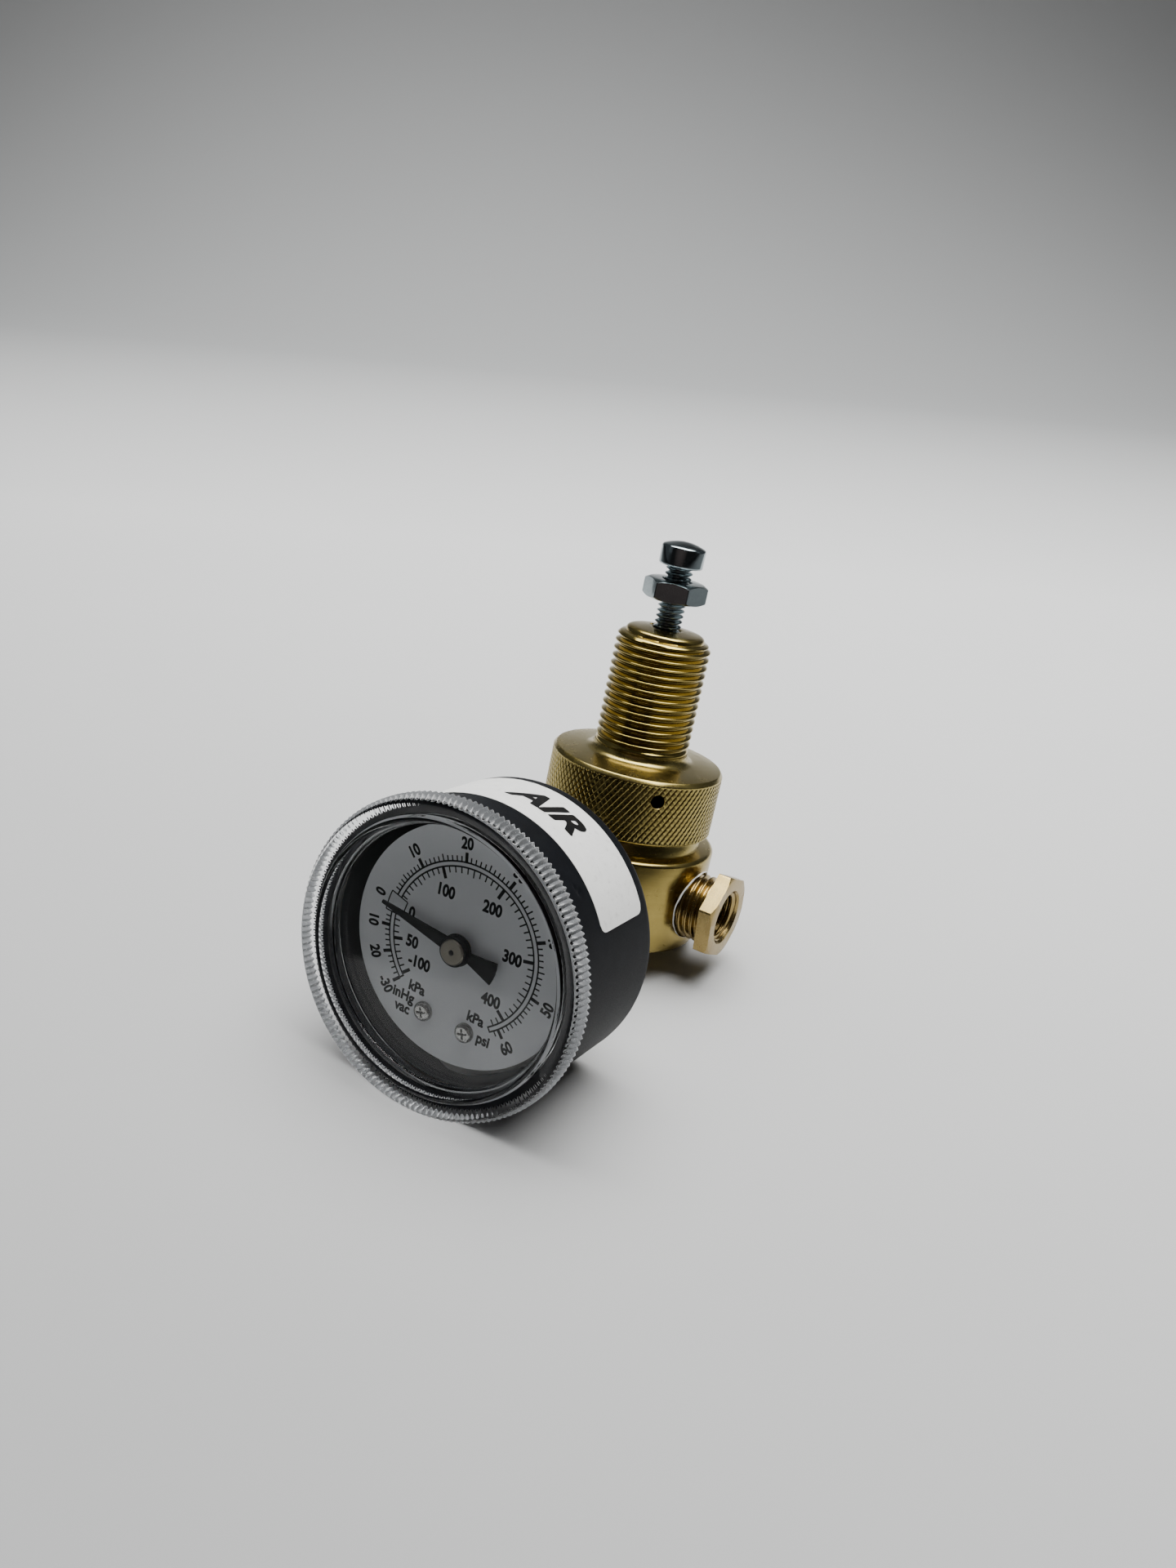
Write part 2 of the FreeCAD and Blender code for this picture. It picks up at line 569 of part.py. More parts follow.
def sector_gear():
    """Toothed arc, web, hub and tail, meshing with the pinion on the line of centres."""
    pivot = sector_pivot()
    mesh_angle = PIVOT_ANGLE + 180
    pitch_angle = 360 / SECTOR_TEETH
    first, last = -6, 1
    outline = []
    for i in range(first, last + 1):
        middle = mesh_angle + pitch_angle * (i + 0.5)
        outline += tooth_points(SECTOR_TEETH, middle, 0.7 * MODULE, 1.0 * MODULE, 0.03)
    low = mesh_angle + pitch_angle * first
    high = mesh_angle + pitch_angle * (last + 1)
    rim_in = 8.8
    inner_arc = (polar(rim_in, high), polar(rim_in, (low + high) / 2), polar(rim_in, low))
    outline += [(p.x, p.y) for p in inner_arc]
    front = GEAR_BACK + GEAR_T
    rim = plate(outline, GEAR_BACK, front)
    web_ends = [(p.x, p.y) for p in (polar(9.4, low + 8), polar(9.4, high - 8))]
    web = plate([(0, 0)] + web_ends, GEAR_BACK, front)
    tail = round_bar(ORIGIN, polar(TAIL_LENGTH, TAIL_ANGLE), 1.0, GEAR_BACK, front)
    gear = rim.fuse(web).fuse(cylinder(1.8, GEAR_BACK, front)).fuse(tail)
    gear = gear.cut(cylinder(0.6, 40, 60))
    gear.translate(pivot)
    pin = sector_pin()
    return to_gauge(gear.cut(cylinder(0.4, 40, 60, pin.x, pin.y)).removeSplitter())


def sector_arbor():
    pivot = sector_pivot()
    return to_gauge(cylinder(0.6, BACK_PLATE, FRONT_PLATE + PLATE_T, pivot.x, pivot.y))


def pinion_arbor():
    """Pointer shaft with its pinion and the hairspring's collet, in one piece."""
    tooth_depth = 0.6 * MODULE
    outline = []
    for i in range(PINION_TEETH):
        angle = PIVOT_ANGLE + 360 / PINION_TEETH * i
        outline += tooth_points(PINION_TEETH, angle, tooth_depth, 1.0 * MODULE, 0.03)
    pinion = plate(outline, GEAR_BACK - 0.1, GEAR_BACK + GEAR_T + 0.1)
    shaft = cylinder(0.5, BACK_PLATE, HUB_FRONT - 0.4)
    collet = cylinder(0.9, 50.7, 51.9)
    return to_gauge(shaft.fuse(pinion).fuse(collet).removeSplitter())


def hairspring():
    """Flat spiral from the collet out to a stud on the back plate, as half rings end to end."""
    thickness, step, first_r, halves = 0.14, 0.17, 1.1, 8
    z0, z1 = 51.1, 51.6
    spiral = []
    for i in range(halves):
        r = first_r + step * i
        half = tube(r + thickness / 2, r - thickness / 2, z0, z1, step * (i % 2))
        side = 0 if i % 2 else -30
        spiral.append(half.common(Part.makeBox(60, 30, 10, V(-30, side, z0 - 5))))
    stud = cylinder(0.35, BACK_PLATE + PLATE_T, z1 + 0.1, first_r + step * halves, 0.2)
    inner = Part.makeBox(first_r - 0.9, thickness, z1 - z0, V(0.9, -0.05, z0))
    return to_gauge(spiral[0].multiFuse(spiral[1:] + [stud, inner]).removeSplitter())


def movement_plate(z0, bearing_r):
    outline = [(-6.5, -9.0), (8.0, -9.0), (14.0, -6.5), (14.0, 7.0), (-6.5, 7.0)]
    solid = plate(outline, z0, z0 + PLATE_T)
    pivot = sector_pivot()
    solid = solid.cut(cylinder(bearing_r, z0 - 1, z0 + 2))
    return solid.cut(cylinder(0.65, z0 - 1, z0 + 2, pivot.x, pivot.y))


def movement_back_plate():
    solid = movement_plate(BACK_PLATE, 0.55)
    for place in MOVEMENT_SCREWS:
        solid = solid.cut(cylinder(0.85, BACK_PLATE - 1, BACK_PLATE + 2, place.x, place.y))
    return to_gauge(solid)


def movement_front_plate():
    return to_gauge(movement_plate(FRONT_PLATE, 0.55))


def movement_pillars():
    low, high = BACK_PLATE + PLATE_T, FRONT_PLATE
    return Part.makeCompound([to_gauge(cylinder(1.2, low, high, p.x, p.y)) for p in PILLARS])


def small_screw(place, head_r, head_z, head_t, shank_r, shank_end):
    """Round-headed screw with a cross recess, its head towards +Z."""
    top = head_z + head_t
    screw = turned([(0, shank_end), (shank_r, shank_end), (shank_r, head_z), (head_r, head_z),
                    (head_r, head_z + 0.4 * head_t), (0.55 * head_r, top), (0, top)],
                   arcs={4: (0.88 * head_r, head_z + 0.82 * head_t)})
    for angle in (0, 90):
        corner = V(-0.55 * head_r, -0.11 * head_r, top - 0.5 * head_t)
        arm = Part.makeBox(1.1 * head_r, 0.22 * head_r, head_t, corner)
        arm.rotate(ORIGIN, Z_AXIS, angle + 20)
        screw = screw.cut(arm)
    screw.translate(place)
    return to_gauge(screw)


def movement_screws():
    head_z = BACK_PLATE + PLATE_T
    screws = [small_screw(p, 1.3, head_z, 0.7, 0.8, BLOCK_FRONT - 3) for p in MOVEMENT_SCREWS]
    return Part.makeCompound(screws)


def dial_screw_places():
    return [V(side * DIAL_SCREW_X, DIAL_SCREW_Y, 0) for side in (-1, 1)]


def dial_posts():
    posts = []
    for p in dial_screw_places():
        posts.append(to_gauge(tube(2.0, 1.02, BLOCK_FRONT, DIAL_FRONT - DIAL_T, p.x, p.y)))
    return Part.makeCompound(posts)


def dial():
    back = DIAL_FRONT - DIAL_T
    solid = tube(DIAL_R, 1.9, back, DIAL_FRONT)
    for p in dial_screw_places():
        solid = solid.cut(cylinder(1.15, back - 1, DIAL_FRONT + 1, p.x, p.y))
    return to_gauge(solid)


def dial_screws():
    shank_end = BLOCK_FRONT + 1.5
    return Part.makeCompound([small_screw(p, DIAL_SCREW_HEAD_R, DIAL_FRONT, 1.0, 1.0, shank_end)
                              for p in dial_screw_places()])


def pointer():
    """Tapered blade, ring round the hub and flared counterweight tail."""
    front = POINTER_BACK + POINTER_T
    blade = plate([(2.0, -1.3), (POINTER_LENGTH, -0.3), (POINTER_LENGTH, 0.3), (2.0, 1.3)],
                  POINTER_BACK, front)
    flare = [polar(TAIL_RADIUS, 180 + a) for a in (-15, -7.5, 0, 7.5, 15)]
    tail = plate([(-2.0, 0.8)] + [(p.x, p.y) for p in flare] + [(-2.0, -0.8)], POINTER_BACK, front)
    ring = cylinder(2.9, POINTER_BACK, front)
    solid = blade.fuse(tail).fuse(ring).cut(cylinder(0.9, POINTER_BACK - 1, front + 1)).removeSplitter()
    solid.rotate(ORIGIN, Z_AXIS, POINTER_ANGLE)
    return to_gauge(solid)


def pointer_hub():
    front = POINTER_BACK + POINTER_T
    return to_gauge(turned([(0.5, 56.2), (0.9, 56.2), (0.9, front), (HUB_R, front), (HUB_R, HUB_FRONT - 0.25),
                            (HUB_R - 0.25, HUB_FRONT), (0.5, HUB_FRONT)]))


NODES = (
    body, bonnet, slip_ring, diaphragm, diaphragm_plate, diaphragm_washer, range_spring,
    upper_spring_button, adjusting_screw, lock_nut, valve_seat, valve_poppet, poppet_seal,
    valve_spring, bottom_plug, bottom_plug_o_ring, port_bushing, bushing_seal_tape,
    gauge_case, gauge_socket, stem_seal_tape, case_screws, gauge_lens, lens_gasket, gauge_label,
    bourdon_tube, tube_tip, tip_link_pin, link, sector_link_pin, sector_gear, sector_arbor,
    pinion_arbor, hairspring, movement_back_plate, movement_front_plate, movement_pillars,
    movement_screws, dial_posts, dial, dial_screws, pointer, pointer_hub,
)

os.makedirs("parts", exist_ok=True)
for make in NODES:
    shape = make()
    shape.exportStep("parts/" + make.__name__ + ".step")
    print(make.__name__, len(shape.Solids), "solid(s), valid", shape.isValid(),
          "volume", round(shape.Volume, 3))
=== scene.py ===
import math
import bmesh
import bpy
import numpy as np
from mathutils import Matrix, Vector


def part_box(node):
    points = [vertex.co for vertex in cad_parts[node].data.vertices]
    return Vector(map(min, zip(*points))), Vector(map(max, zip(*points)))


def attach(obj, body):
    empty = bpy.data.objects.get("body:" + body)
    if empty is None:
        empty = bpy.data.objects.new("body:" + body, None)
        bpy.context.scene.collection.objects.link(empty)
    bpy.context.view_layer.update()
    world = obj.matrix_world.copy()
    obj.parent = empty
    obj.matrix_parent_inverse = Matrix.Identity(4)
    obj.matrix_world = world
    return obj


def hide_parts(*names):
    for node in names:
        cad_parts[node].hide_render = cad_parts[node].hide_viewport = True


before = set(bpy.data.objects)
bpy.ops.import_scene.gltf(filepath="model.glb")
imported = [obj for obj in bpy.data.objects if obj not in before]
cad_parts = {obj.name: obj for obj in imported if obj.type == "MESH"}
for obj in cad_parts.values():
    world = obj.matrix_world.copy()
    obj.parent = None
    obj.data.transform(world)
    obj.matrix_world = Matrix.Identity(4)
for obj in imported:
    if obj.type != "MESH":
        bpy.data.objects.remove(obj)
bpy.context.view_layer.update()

MM = 0.001
TAU = 2 * math.pi

# ---- places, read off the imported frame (millimetres) ----
def node_box(name):
    low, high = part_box(name)
    return np.array(low) / MM, np.array(high) / MM


GAUGE_TURN = math.radians(-3.0)
PANEL_PITCH, SCREW_PITCH = 25.4 / 16, 25.4 / 24
PIPE_PITCH, SMALL_PIPE_PITCH = 25.4 / 18, 25.4 / 27
bush_high = node_box("port_bushing")[1]
port_z = round(float(node_box("bushing_seal_tape")[0][2] + node_box("bushing_seal_tape")[1][2]) / 2, 3)


def place(points, kind):
    """Points of a local frame into the row frame, in metres."""
    p = np.asarray(points, float)
    x, y, z = p[..., 0], p[..., 1], p[..., 2]
    if kind == "gauge":
        c, s = math.cos(GAUGE_TURN), math.sin(GAUGE_TURN)
        out = np.stack([x * c - y * s, -z, x * s + y * c + port_z], -1)
    elif kind == "dial":
        out = np.stack([x, -z, y + port_z], -1)
    elif kind == "outlet":
        out = np.stack([z, y, port_z - x], -1)
    elif kind == "inlet":
        out = np.stack([-z, -y, port_z - x], -1)
    elif kind == "stem":
        out = np.stack([x, -z, port_z + y], -1)
    else:
        out = np.stack([x, y, z], -1)
    return out * MM


def mirrored(kind):
    base = place(np.zeros(3), kind)
    return np.linalg.det(np.array([place(np.eye(3)[i], kind) - base for i in range(3)])) < 0


# ---------------------------------------------------------------- mesh building
def make_object(name, verts, faces, smooth_angle=35.0):
    mesh = bpy.data.meshes.new(name)
    mesh.from_pydata([tuple(v) for v in verts], [], [tuple(f) for f in faces])
    mesh.validate()
    mesh.polygons.foreach_set("use_smooth", [True] * len(mesh.polygons))
    mesh.set_sharp_from_angle(angle=math.radians(smooth_angle))
    mesh.update()
    obj = bpy.data.objects.new(name, mesh)
    bpy.context.scene.collection.objects.link(obj)
    return obj


def clean(obj, merge=2e-7, smooth_angle=35.0):
    bm = bmesh.new()
    bm.from_mesh(obj.data)
    bmesh.ops.remove_doubles(bm, verts=bm.verts, dist=merge)
    bmesh.ops.dissolve_degenerate(bm, edges=bm.edges, dist=merge)
    bmesh.ops.recalc_face_normals(bm, faces=bm.faces)
    bm.to_mesh(obj.data)
    bm.free()
    obj.data.polygons.foreach_set("use_smooth", [True] * len(obj.data.polygons))
    obj.data.set_sharp_from_angle(angle=math.radians(smooth_angle))
    obj.data.update()
    return obj


def grid_faces(rows, cols, wrap):
    faces = []
    last = cols if wrap else cols - 1
    for j in range(rows - 1):
        for i in range(last):
            k = (i + 1) % cols
            faces.append((j * cols + i, j * cols + k, (j + 1) * cols + k, (j + 1) * cols + i))
    return faces


def grid_object(name, local, kind, wrap=True, smooth_angle=35.0, close=False):
    """local is (rows, cols, 3).  close joins the last row to the first, for a ring-shaped profile."""
    rows, cols = local.shape[:2]
    faces = grid_faces(rows, cols, wrap)
    if close:
        last = (rows - 1) * cols
        faces += [(last + i, last + (i + 1) % cols, (i + 1) % cols, i) for i in range(cols)]
    verts = place(local, kind).reshape(-1, 3)
    return clean(make_object(name, verts, faces), smooth_angle=smooth_angle)


def lathe(name, outline, kind, segments=192, close=False, radius_at=None, smooth_angle=35.0):
    """Turned surface from (r, z) points; radius_at(r, z, angles, index) may alter each row's radii."""
    angles = np.arange(segments) / segments * TAU
    rows = []
    for index, (r, z) in enumerate(outline):
        radii = np.full(segments, float(r))
        if radius_at:
            radii = radius_at(r, z, angles, index)
        rows.append(np.stack([radii * np.cos(angles), radii * np.sin(angles), np.full(segments, float(z))],
                             -1))
    return grid_object(name, np.array(rows), kind, close=close, smooth_angle=smooth_angle)


def thread(name, kind, pitch, crest_r, root_r, z0, z1, fade0=0.0, fade1=0.0, end_r0=None, end_r1=None,
           columns=144, taper=0.0, phase0=0.0, sharp=0.35, limit=None):
    """Right-hand helical thread between z0 and z1.  Each fade is the run over which it dies into end_r."""
    profile = []
    steps = 14
    for k in range(steps):
        s = k / steps
        d = abs(s - 0.5) * 2
        height = 1 - min(1.0, max(0.0, (d - 0.12) / (0.88 - 0.12)))
        height = height * sharp + (0.5 - 0.5 * math.cos(math.pi * height)) * (1 - sharp)
        profile.append((s, height))
    turns_low = math.floor(z0 / pitch) - 2
    turns_high = math.ceil(z1 / pitch) + 2
    rows = []
    angles = np.linspace(0, TAU, columns + 1)
    for n in range(turns_low, turns_high):
        for s, height in profile:
            z = (n + s + phase0) * pitch + angles / TAU * pitch
            z = np.clip(z, z0, z1)
            r = root_r + (crest_r - root_r) * height
            r = np.full_like(z, r)
            if fade0:
                low_r = crest_r if end_r0 is None else end_r0
                t = np.clip((z - z0) / fade0, 0, 1)
                t = t * t * (3 - 2 * t)
                r = low_r + (r - low_r) * t
            if fade1:
                high_r = crest_r if end_r1 is None else end_r1
                t = np.clip((z1 - z) / fade1, 0, 1)
                t = t * t * (3 - 2 * t)
                r = high_r + (r - high_r) * t
            r = r + taper * (z - z1)
            if limit:
                r = np.minimum(r, limit(z))
            rows.append(np.stack([r * np.cos(angles), r * np.sin(angles), z], -1))
    return grid_object(name, np.array(rows), kind, wrap=False, smooth_angle=60)


def join(name, objects, smooth_angle=None):
    bm = bmesh.new()
    for o in objects:
        bm.from_mesh(o.data)
    mesh = bpy.data.meshes.new(name)
    bm.to_mesh(mesh)
    bm.free()
    for o in objects:
        bpy.data.objects.remove(o)
    obj = bpy.data.objects.new(name, mesh)
    bpy.context.scene.collection.objects.link(obj)
    if smooth_angle:
        mesh.set_sharp_from_angle(angle=math.radians(smooth_angle))
    return obj


def boolean(obj, cutter, operation):
    mod = obj.modifiers.new("cut", "BOOLEAN")
    mod.object = cutter
    mod.operation = operation
    mod.solver = "EXACT"
    bpy.context.view_layer.update()
    evaluated = obj.evaluated_get(bpy.context.evaluated_depsgraph_get())
    mesh = bpy.data.meshes.new_from_object(evaluated)
    obj.modifiers.clear()
    obj.data = mesh
    bpy.data.objects.remove(cutter)
    return obj


def capped_lathe(name, outline, kind, segments=192):
    """Closed turned solid whose outline starts and ends on the axis."""
    return lathe(name, [(max(r, 1e-4), z) for r, z in outline], kind, segments)


def hexagon(name, kind, across_flats, z0, z1, corner_deg, ease=0.16):
    """Hexagonal prism with its long edges slightly rounded."""
    corner_r = across_flats / 2 / math.cos(math.pi / 6)
    bm = bmesh.new()
    low = [bm.verts.new((corner_r * math.cos(math.radians(corner_deg + 60 * i)),
                         corner_r * math.sin(math.radians(corner_deg + 60 * i)), z0)) for i in range(6)]
    face = bm.faces.new(low)
    top = bmesh.ops.extrude_face_region(bm, geom=[face])
    moved = [v for v in top["geom"] if isinstance(v, bmesh.types.BMVert)]
    bmesh.ops.translate(bm, verts=moved, vec=(0, 0, z1 - z0))
    long_edges = [e for e in bm.edges if abs(e.verts[0].co.z - e.verts[1].co.z) > 0.1]
    bmesh.ops.bevel(bm, geom=long_edges, offset=ease, segments=3, affect="EDGES", profile=0.5)
    bmesh.ops.recalc_face_normals(bm, faces=bm.faces)
    mesh = bpy.data.meshes.new(name)
    bm.to_mesh(mesh)
    bm.free()
    co = np.array([v.co for v in mesh.vertices], float)
    mesh.vertices.foreach_set("co", place(co, kind).astype(np.float32).ravel())
    if mirrored(kind):
        mesh.flip_normals()
    obj = bpy.data.objects.new(name, mesh)
    bpy.context.scene.collection.objects.link(obj)
    return obj


def nut_blank(name, kind, across_flats, z0, z1, corner_deg, face_r, back, front):
    """Hexagon turned off by 30 degree cones at its back and front."""
    blank = hexagon(name, kind, across_flats, z0, z1, corner_deg)
    corner_r = across_flats / 2 / math.cos(math.pi / 6) + 1
    drop = (corner_r - face_r) * math.tan(math.radians(30))
    outline = [(0, z0)]
    outline += [(face_r - 0.12, z0), (face_r + 0.12, z0 + 0.07),
                (corner_r, z0 + drop)] if back else [(corner_r, z0)]
    outline += [(corner_r, z1 - drop), (face_r + 0.12, z1 - 0.07),
                (face_r - 0.12, z1)] if front else [(corner_r, z1)]
    outline += [(0, z1)]
    cone = capped_lathe("cone", outline, kind, 128)
    return boolean(blank, cone, "INTERSECT")


def finish_mesh(obj, smooth_angle=30.0):
    obj.data.polygons.foreach_set("use_smooth", [True] * len(obj.data.polygons))
    obj.data.set_sharp_from_angle(angle=math.radians(smooth_angle))
    return obj


# ---------------------------------------------------------------- materials
class Surface:
    """A Principled material with short ways to add procedural detail to it."""

    def __init__(self, name, color, metallic=0.0, roughness=0.4, **sockets):
        self.mat = bpy.data.materials.new(name)
        self.mat.use_nodes = True
        self.tree = self.mat.node_tree
        self.shader = self.tree.nodes["Principled BSDF"]
        self.color = color
        self.set("Base Color", (*color, 1))
        self.set("Metallic", metallic)
        self.set("Roughness", roughness)
        for key, value in sockets.items():
            self.set(key.replace("_", " "), value)
        coords = self.tree.nodes.new("ShaderNodeTexCoord")
        self.coords = coords.outputs["Object"]
        self.normal = None

    def set(self, socket, value):
        self.shader.inputs[socket].default_value = value

    def node(self, kind, **values):
        node = self.tree.nodes.new(kind)
        for key, value in values.items():
            setattr(node, key, value)
        return node

    def link(self, a, b):
        self.tree.links.new(a, b)

    def noise(self, per_m, detail=3.0, rough=0.55, stretch=(1, 1, 1)):
        """Noise with about per_m features in a metre, times stretch along each axis."""
        mapping = self.node("ShaderNodeMapping")
        mapping.inputs["Scale"].default_value = tuple(per_m * s for s in stretch)
        self.link(self.coords, mapping.inputs["Vector"])
        noise = self.node("ShaderNodeTexNoise")
        noise.inputs["Scale"].default_value = 1.0
        noise.inputs["Detail"].default_value = detail
        noise.inputs["Roughness"].default_value = rough
        self.link(mapping.outputs["Vector"], noise.inputs["Vector"])
        return noise.outputs["Fac"]

    def remap(self, value, low, high, out_low, out_high):
        node = self.node("ShaderNodeMapRange")
        for key, v in (("From Min", low), ("From Max", high), ("To Min", out_low), ("To Max", out_high)):
            node.inputs[key].default_value = v
        self.link(value, node.inputs["Value"])
        return node.outputs["Result"]

    def math(self, operation, a, b):
        node = self.node("ShaderNodeMath", operation=operation)
        for socket, v in zip(node.inputs, (a, b)):
            if isinstance(v, (int, float)):
                socket.default_value = v
            else:
                self.link(v, socket)
        return node.outputs[0]

    def tint(self, factor, color):
        """Mix another colour in where factor is high."""
        mix = self.node("ShaderNodeMix", data_type="RGBA")
        base = self.shader.inputs["Base Color"]
        if base.is_linked:
            self.link(base.links[0].from_socket, mix.inputs[6])
        else:
            mix.inputs[6].default_value = base.default_value
        mix.inputs[7].default_value = (*color, 1)
        self.link(factor, mix.inputs[0])
        self.link(mix.outputs[2], base)
        return self

    def rough(self, value):
        self.link(value, self.shader.inputs["Roughness"])
        return self

    def round_edges(self, radius):
        bevel = self.node("ShaderNodeBevel", samples=4)
        bevel.inputs["Radius"].default_value = radius
        self.normal = bevel.outputs["Normal"]
        self.link(self.normal, self.shader.inputs["Normal"])
        return self

    def bump(self, height, depth, strength=1.0):
        bump = self.node("ShaderNodeBump")
        bump.inputs["Strength"].default_value = strength
        bump.inputs["Distance"].default_value = depth
        self.link(height, bump.inputs["Height"])
        if self.normal:
            self.link(self.normal, bump.inputs["Normal"])
        self.normal = bump.outputs["Normal"]
        self.link(self.normal, self.shader.inputs["Normal"])
        return self


def turned_metal(name, color, dark, axis, roughness, mark_depth=4e-6, edges=0.0, patchy=0.5):
    """Machined metal: rings of tool marks about the given axis, patches of tone and finger marks."""
    s = Surface(name, color, metallic=1.0, roughness=roughness)
    fine = [60.0, 60.0, 60.0]
    fine["XYZ".index(axis)] = 7000.0
    broad = [30.0, 30.0, 30.0]
    broad["XYZ".index(axis)] = 1400.0
    marks = s.noise(1.0, 4.0, 0.6, fine)
    bands = s.noise(1.0, 2.0, 0.5, broad)
    patches = s.noise(160, 4.0, 0.6)
    smudges = s.noise(420, 3.0, 0.65)
    s.tint(s.remap(patches, 0.42, 0.72, 0.0, patchy), dark)
    s.tint(s.remap(smudges, 0.55, 0.8, 0.0, patchy * 0.25), tuple(c * 0.9 for c in dark))
    uneven = s.math("ADD", s.remap(bands, 0.3, 0.7, -0.03, 0.04), s.remap(smudges, 0.35, 0.7, -0.02, 0.05))
    s.rough(s.math("ADD", uneven, roughness))
    if edges:
        s.round_edges(edges)
    s.bump(marks, mark_depth, 0.7)
    s.bump(bands, mark_depth * 1.5, 0.4)
    return s


def plain_metal(name, color, dark, roughness, edges=0.00006, grain=3000, depth=3e-6):
    s = Surface(name, color, metallic=1.0, roughness=roughness)
    grain_noise = s.noise(grain, 3.0, 0.6)
    patches = s.noise(500, 3.0, 0.6)
    s.tint(s.remap(patches, 0.45, 0.75, 0.0, 0.6), dark)
    s.rough(s.remap(grain_noise, 0.3, 0.7, roughness - 0.04, roughness + 0.08))
    if edges:
        s.round_edges(edges)
    s.bump(grain_noise, depth, 0.6)
    return s


def soft_solid(name, color, other, roughness, grain=2500, depth=8e-6, edges=0.00005):
    s = Surface(name, color, roughness=roughness)
    grain_noise = s.noise(grain, 4.0, 0.6)
    patches = s.noise(300, 3.0, 0.6)
    s.tint(s.remap(patches, 0.4, 0.75, 0.0, 0.7), other)
    s.rough(s.remap(grain_noise, 0.3, 0.7, roughness - 0.06, roughness + 0.08))
    if edges:
        s.round_edges(edges)
    s.bump(grain_noise, depth, 0.6)
    return s


BRASS, BRASS_DARK = (0.36, 0.275, 0.085), (0.27, 0.205, 0.052)
OLD_BRASS, OLD_DARK = (0.35, 0.26, 0.105), (0.25, 0.17, 0.06)
body_brass = turned_metal("turned_brass", BRASS, BRASS_DARK, "Z", 0.22)
knurl_brass = turned_metal("knurled_brass", (0.37, 0.295, 0.10), BRASS_DARK, "Z", 0.24, mark_depth=2e-6)
thread_brass = turned_metal("threaded_brass", (0.40, 0.31, 0.09), (0.26, 0.185, 0.04), "Z", 0.16,
                            mark_depth=1e-6, patchy=0.6)
bushing_brass = turned_metal("bushing_brass", OLD_BRASS, OLD_DARK, "X", 0.24, mark_depth=4e-6)
socket_brass = turned_metal("socket_brass", OLD_BRASS, OLD_DARK, "Y", 0.26, mark_depth=4e-6)
inner_brass = plain_metal("inner_brass", (0.72, 0.54, 0.24), (0.52, 0.34, 0.12), 0.33)
movement_brass = plain_metal("movement_brass", (0.80, 0.62, 0.30), (0.60, 0.42, 0.16), 0.28)
bronze = plain_metal("bronze", (0.62, 0.40, 0.22), (0.42, 0.25, 0.12), 0.34)
zinc = plain_metal("zinc_plate", (0.30, 0.35, 0.365), (0.23, 0.275, 0.29), 0.09, edges=0.00004, grain=1400,
                   depth=1.5e-6)
spring_steel = plain_metal("spring_steel", (0.45, 0.46, 0.48), (0.30, 0.30, 0.31), 0.34)
stainless = plain_metal("stainless", (0.62, 0.62, 0.63), (0.48, 0.48, 0.49), 0.28)
pivot_steel = plain_metal("pivot_steel", (0.60, 0.60, 0.62), (0.42, 0.42, 0.43), 0.22, edges=0.00002)
plated = plain_metal("nickel_plate", (0.36, 0.355, 0.34), (0.20, 0.195, 0.185), 0.20, edges=0.00005)
hub_nickel = turned_metal("hub_nickel", (0.26, 0.24, 0.20), (0.20, 0.18, 0.15), "Y", 0.34, mark_depth=3e-6,
                          edges=0.00005)
case_black = soft_solid("case_enamel", (0.0045, 0.005, 0.0065), (0.007, 0.008, 0.010), 0.48, grain=5200,
                        depth=5e-6, edges=0.0)
case_black.set("Specular IOR Level", 0.07)
# Painted shade: a darker copy of the case enamel, for the inner faces of the case where the light through
# the clear front falls.
shaded_case_inside = soft_solid("shaded_case_inside", (0.004, 0.0045, 0.006), (0.007, 0.008, 0.010), 0.5, depth=1e-6,
                         edges=0.0)
shaded_case_inside.set("Specular IOR Level", 0.1)
pointer_black = soft_solid("pointer_paint", (0.004, 0.004, 0.0045), (0.007, 0.007, 0.008), 0.45,
                           edges=0.00003)
dial_white = soft_solid("dial_enamel", (0.74, 0.76, 0.78), (0.70, 0.72, 0.74), 0.42, grain=6000, depth=1e-6,
                        edges=0.0)
ink = soft_solid("print_ink", (0.004, 0.004, 0.0045), (0.007, 0.007, 0.0075), 0.5, edges=0.0)
pointer_black.set("Specular IOR Level", 0.25)
ink.set("Specular IOR Level", 0.15)
rubber = soft_solid("black_rubber", (0.014, 0.014, 0.014), (0.03, 0.03, 0.03), 0.62)
fabric_rubber = soft_solid("diaphragm_sheet", (0.035, 0.03, 0.028), (0.06, 0.05, 0.04), 0.6)
fibre = soft_solid("fibre_washer", (0.42, 0.28, 0.14), (0.30, 0.20, 0.10), 0.6)
tape_white = soft_solid("thread_tape", (0.84, 0.84, 0.82), (0.70, 0.69, 0.66), 0.55, grain=4000, depth=3e-5,
                        edges=0.0)
label_white = soft_solid("label_film", (0.84, 0.84, 0.82), (0.76, 0.76, 0.74), 0.40, grain=900, depth=6e-6,
                         edges=0.0)


def clear_plastic():
    """Clear moulded plastic with faint patches of haze and fine rubs."""
    s = Surface("clear_plastic", (0.95, 0.96, 0.965), roughness=0.02, Transmission_Weight=1.0, IOR=1.49)
    s.set("Specular Tint", (0.4, 0.4, 0.4, 1))
    rubs = s.noise(1.0, 3.0, 0.6, (900, 900, 220))
    haze = s.noise(260, 3.0, 0.6)
    s.rough(s.math("ADD", s.remap(rubs, 0.6, 0.85, 0.0, 0.05), s.remap(haze, 0.45, 0.8, 0.0, 0.02)))
    return s


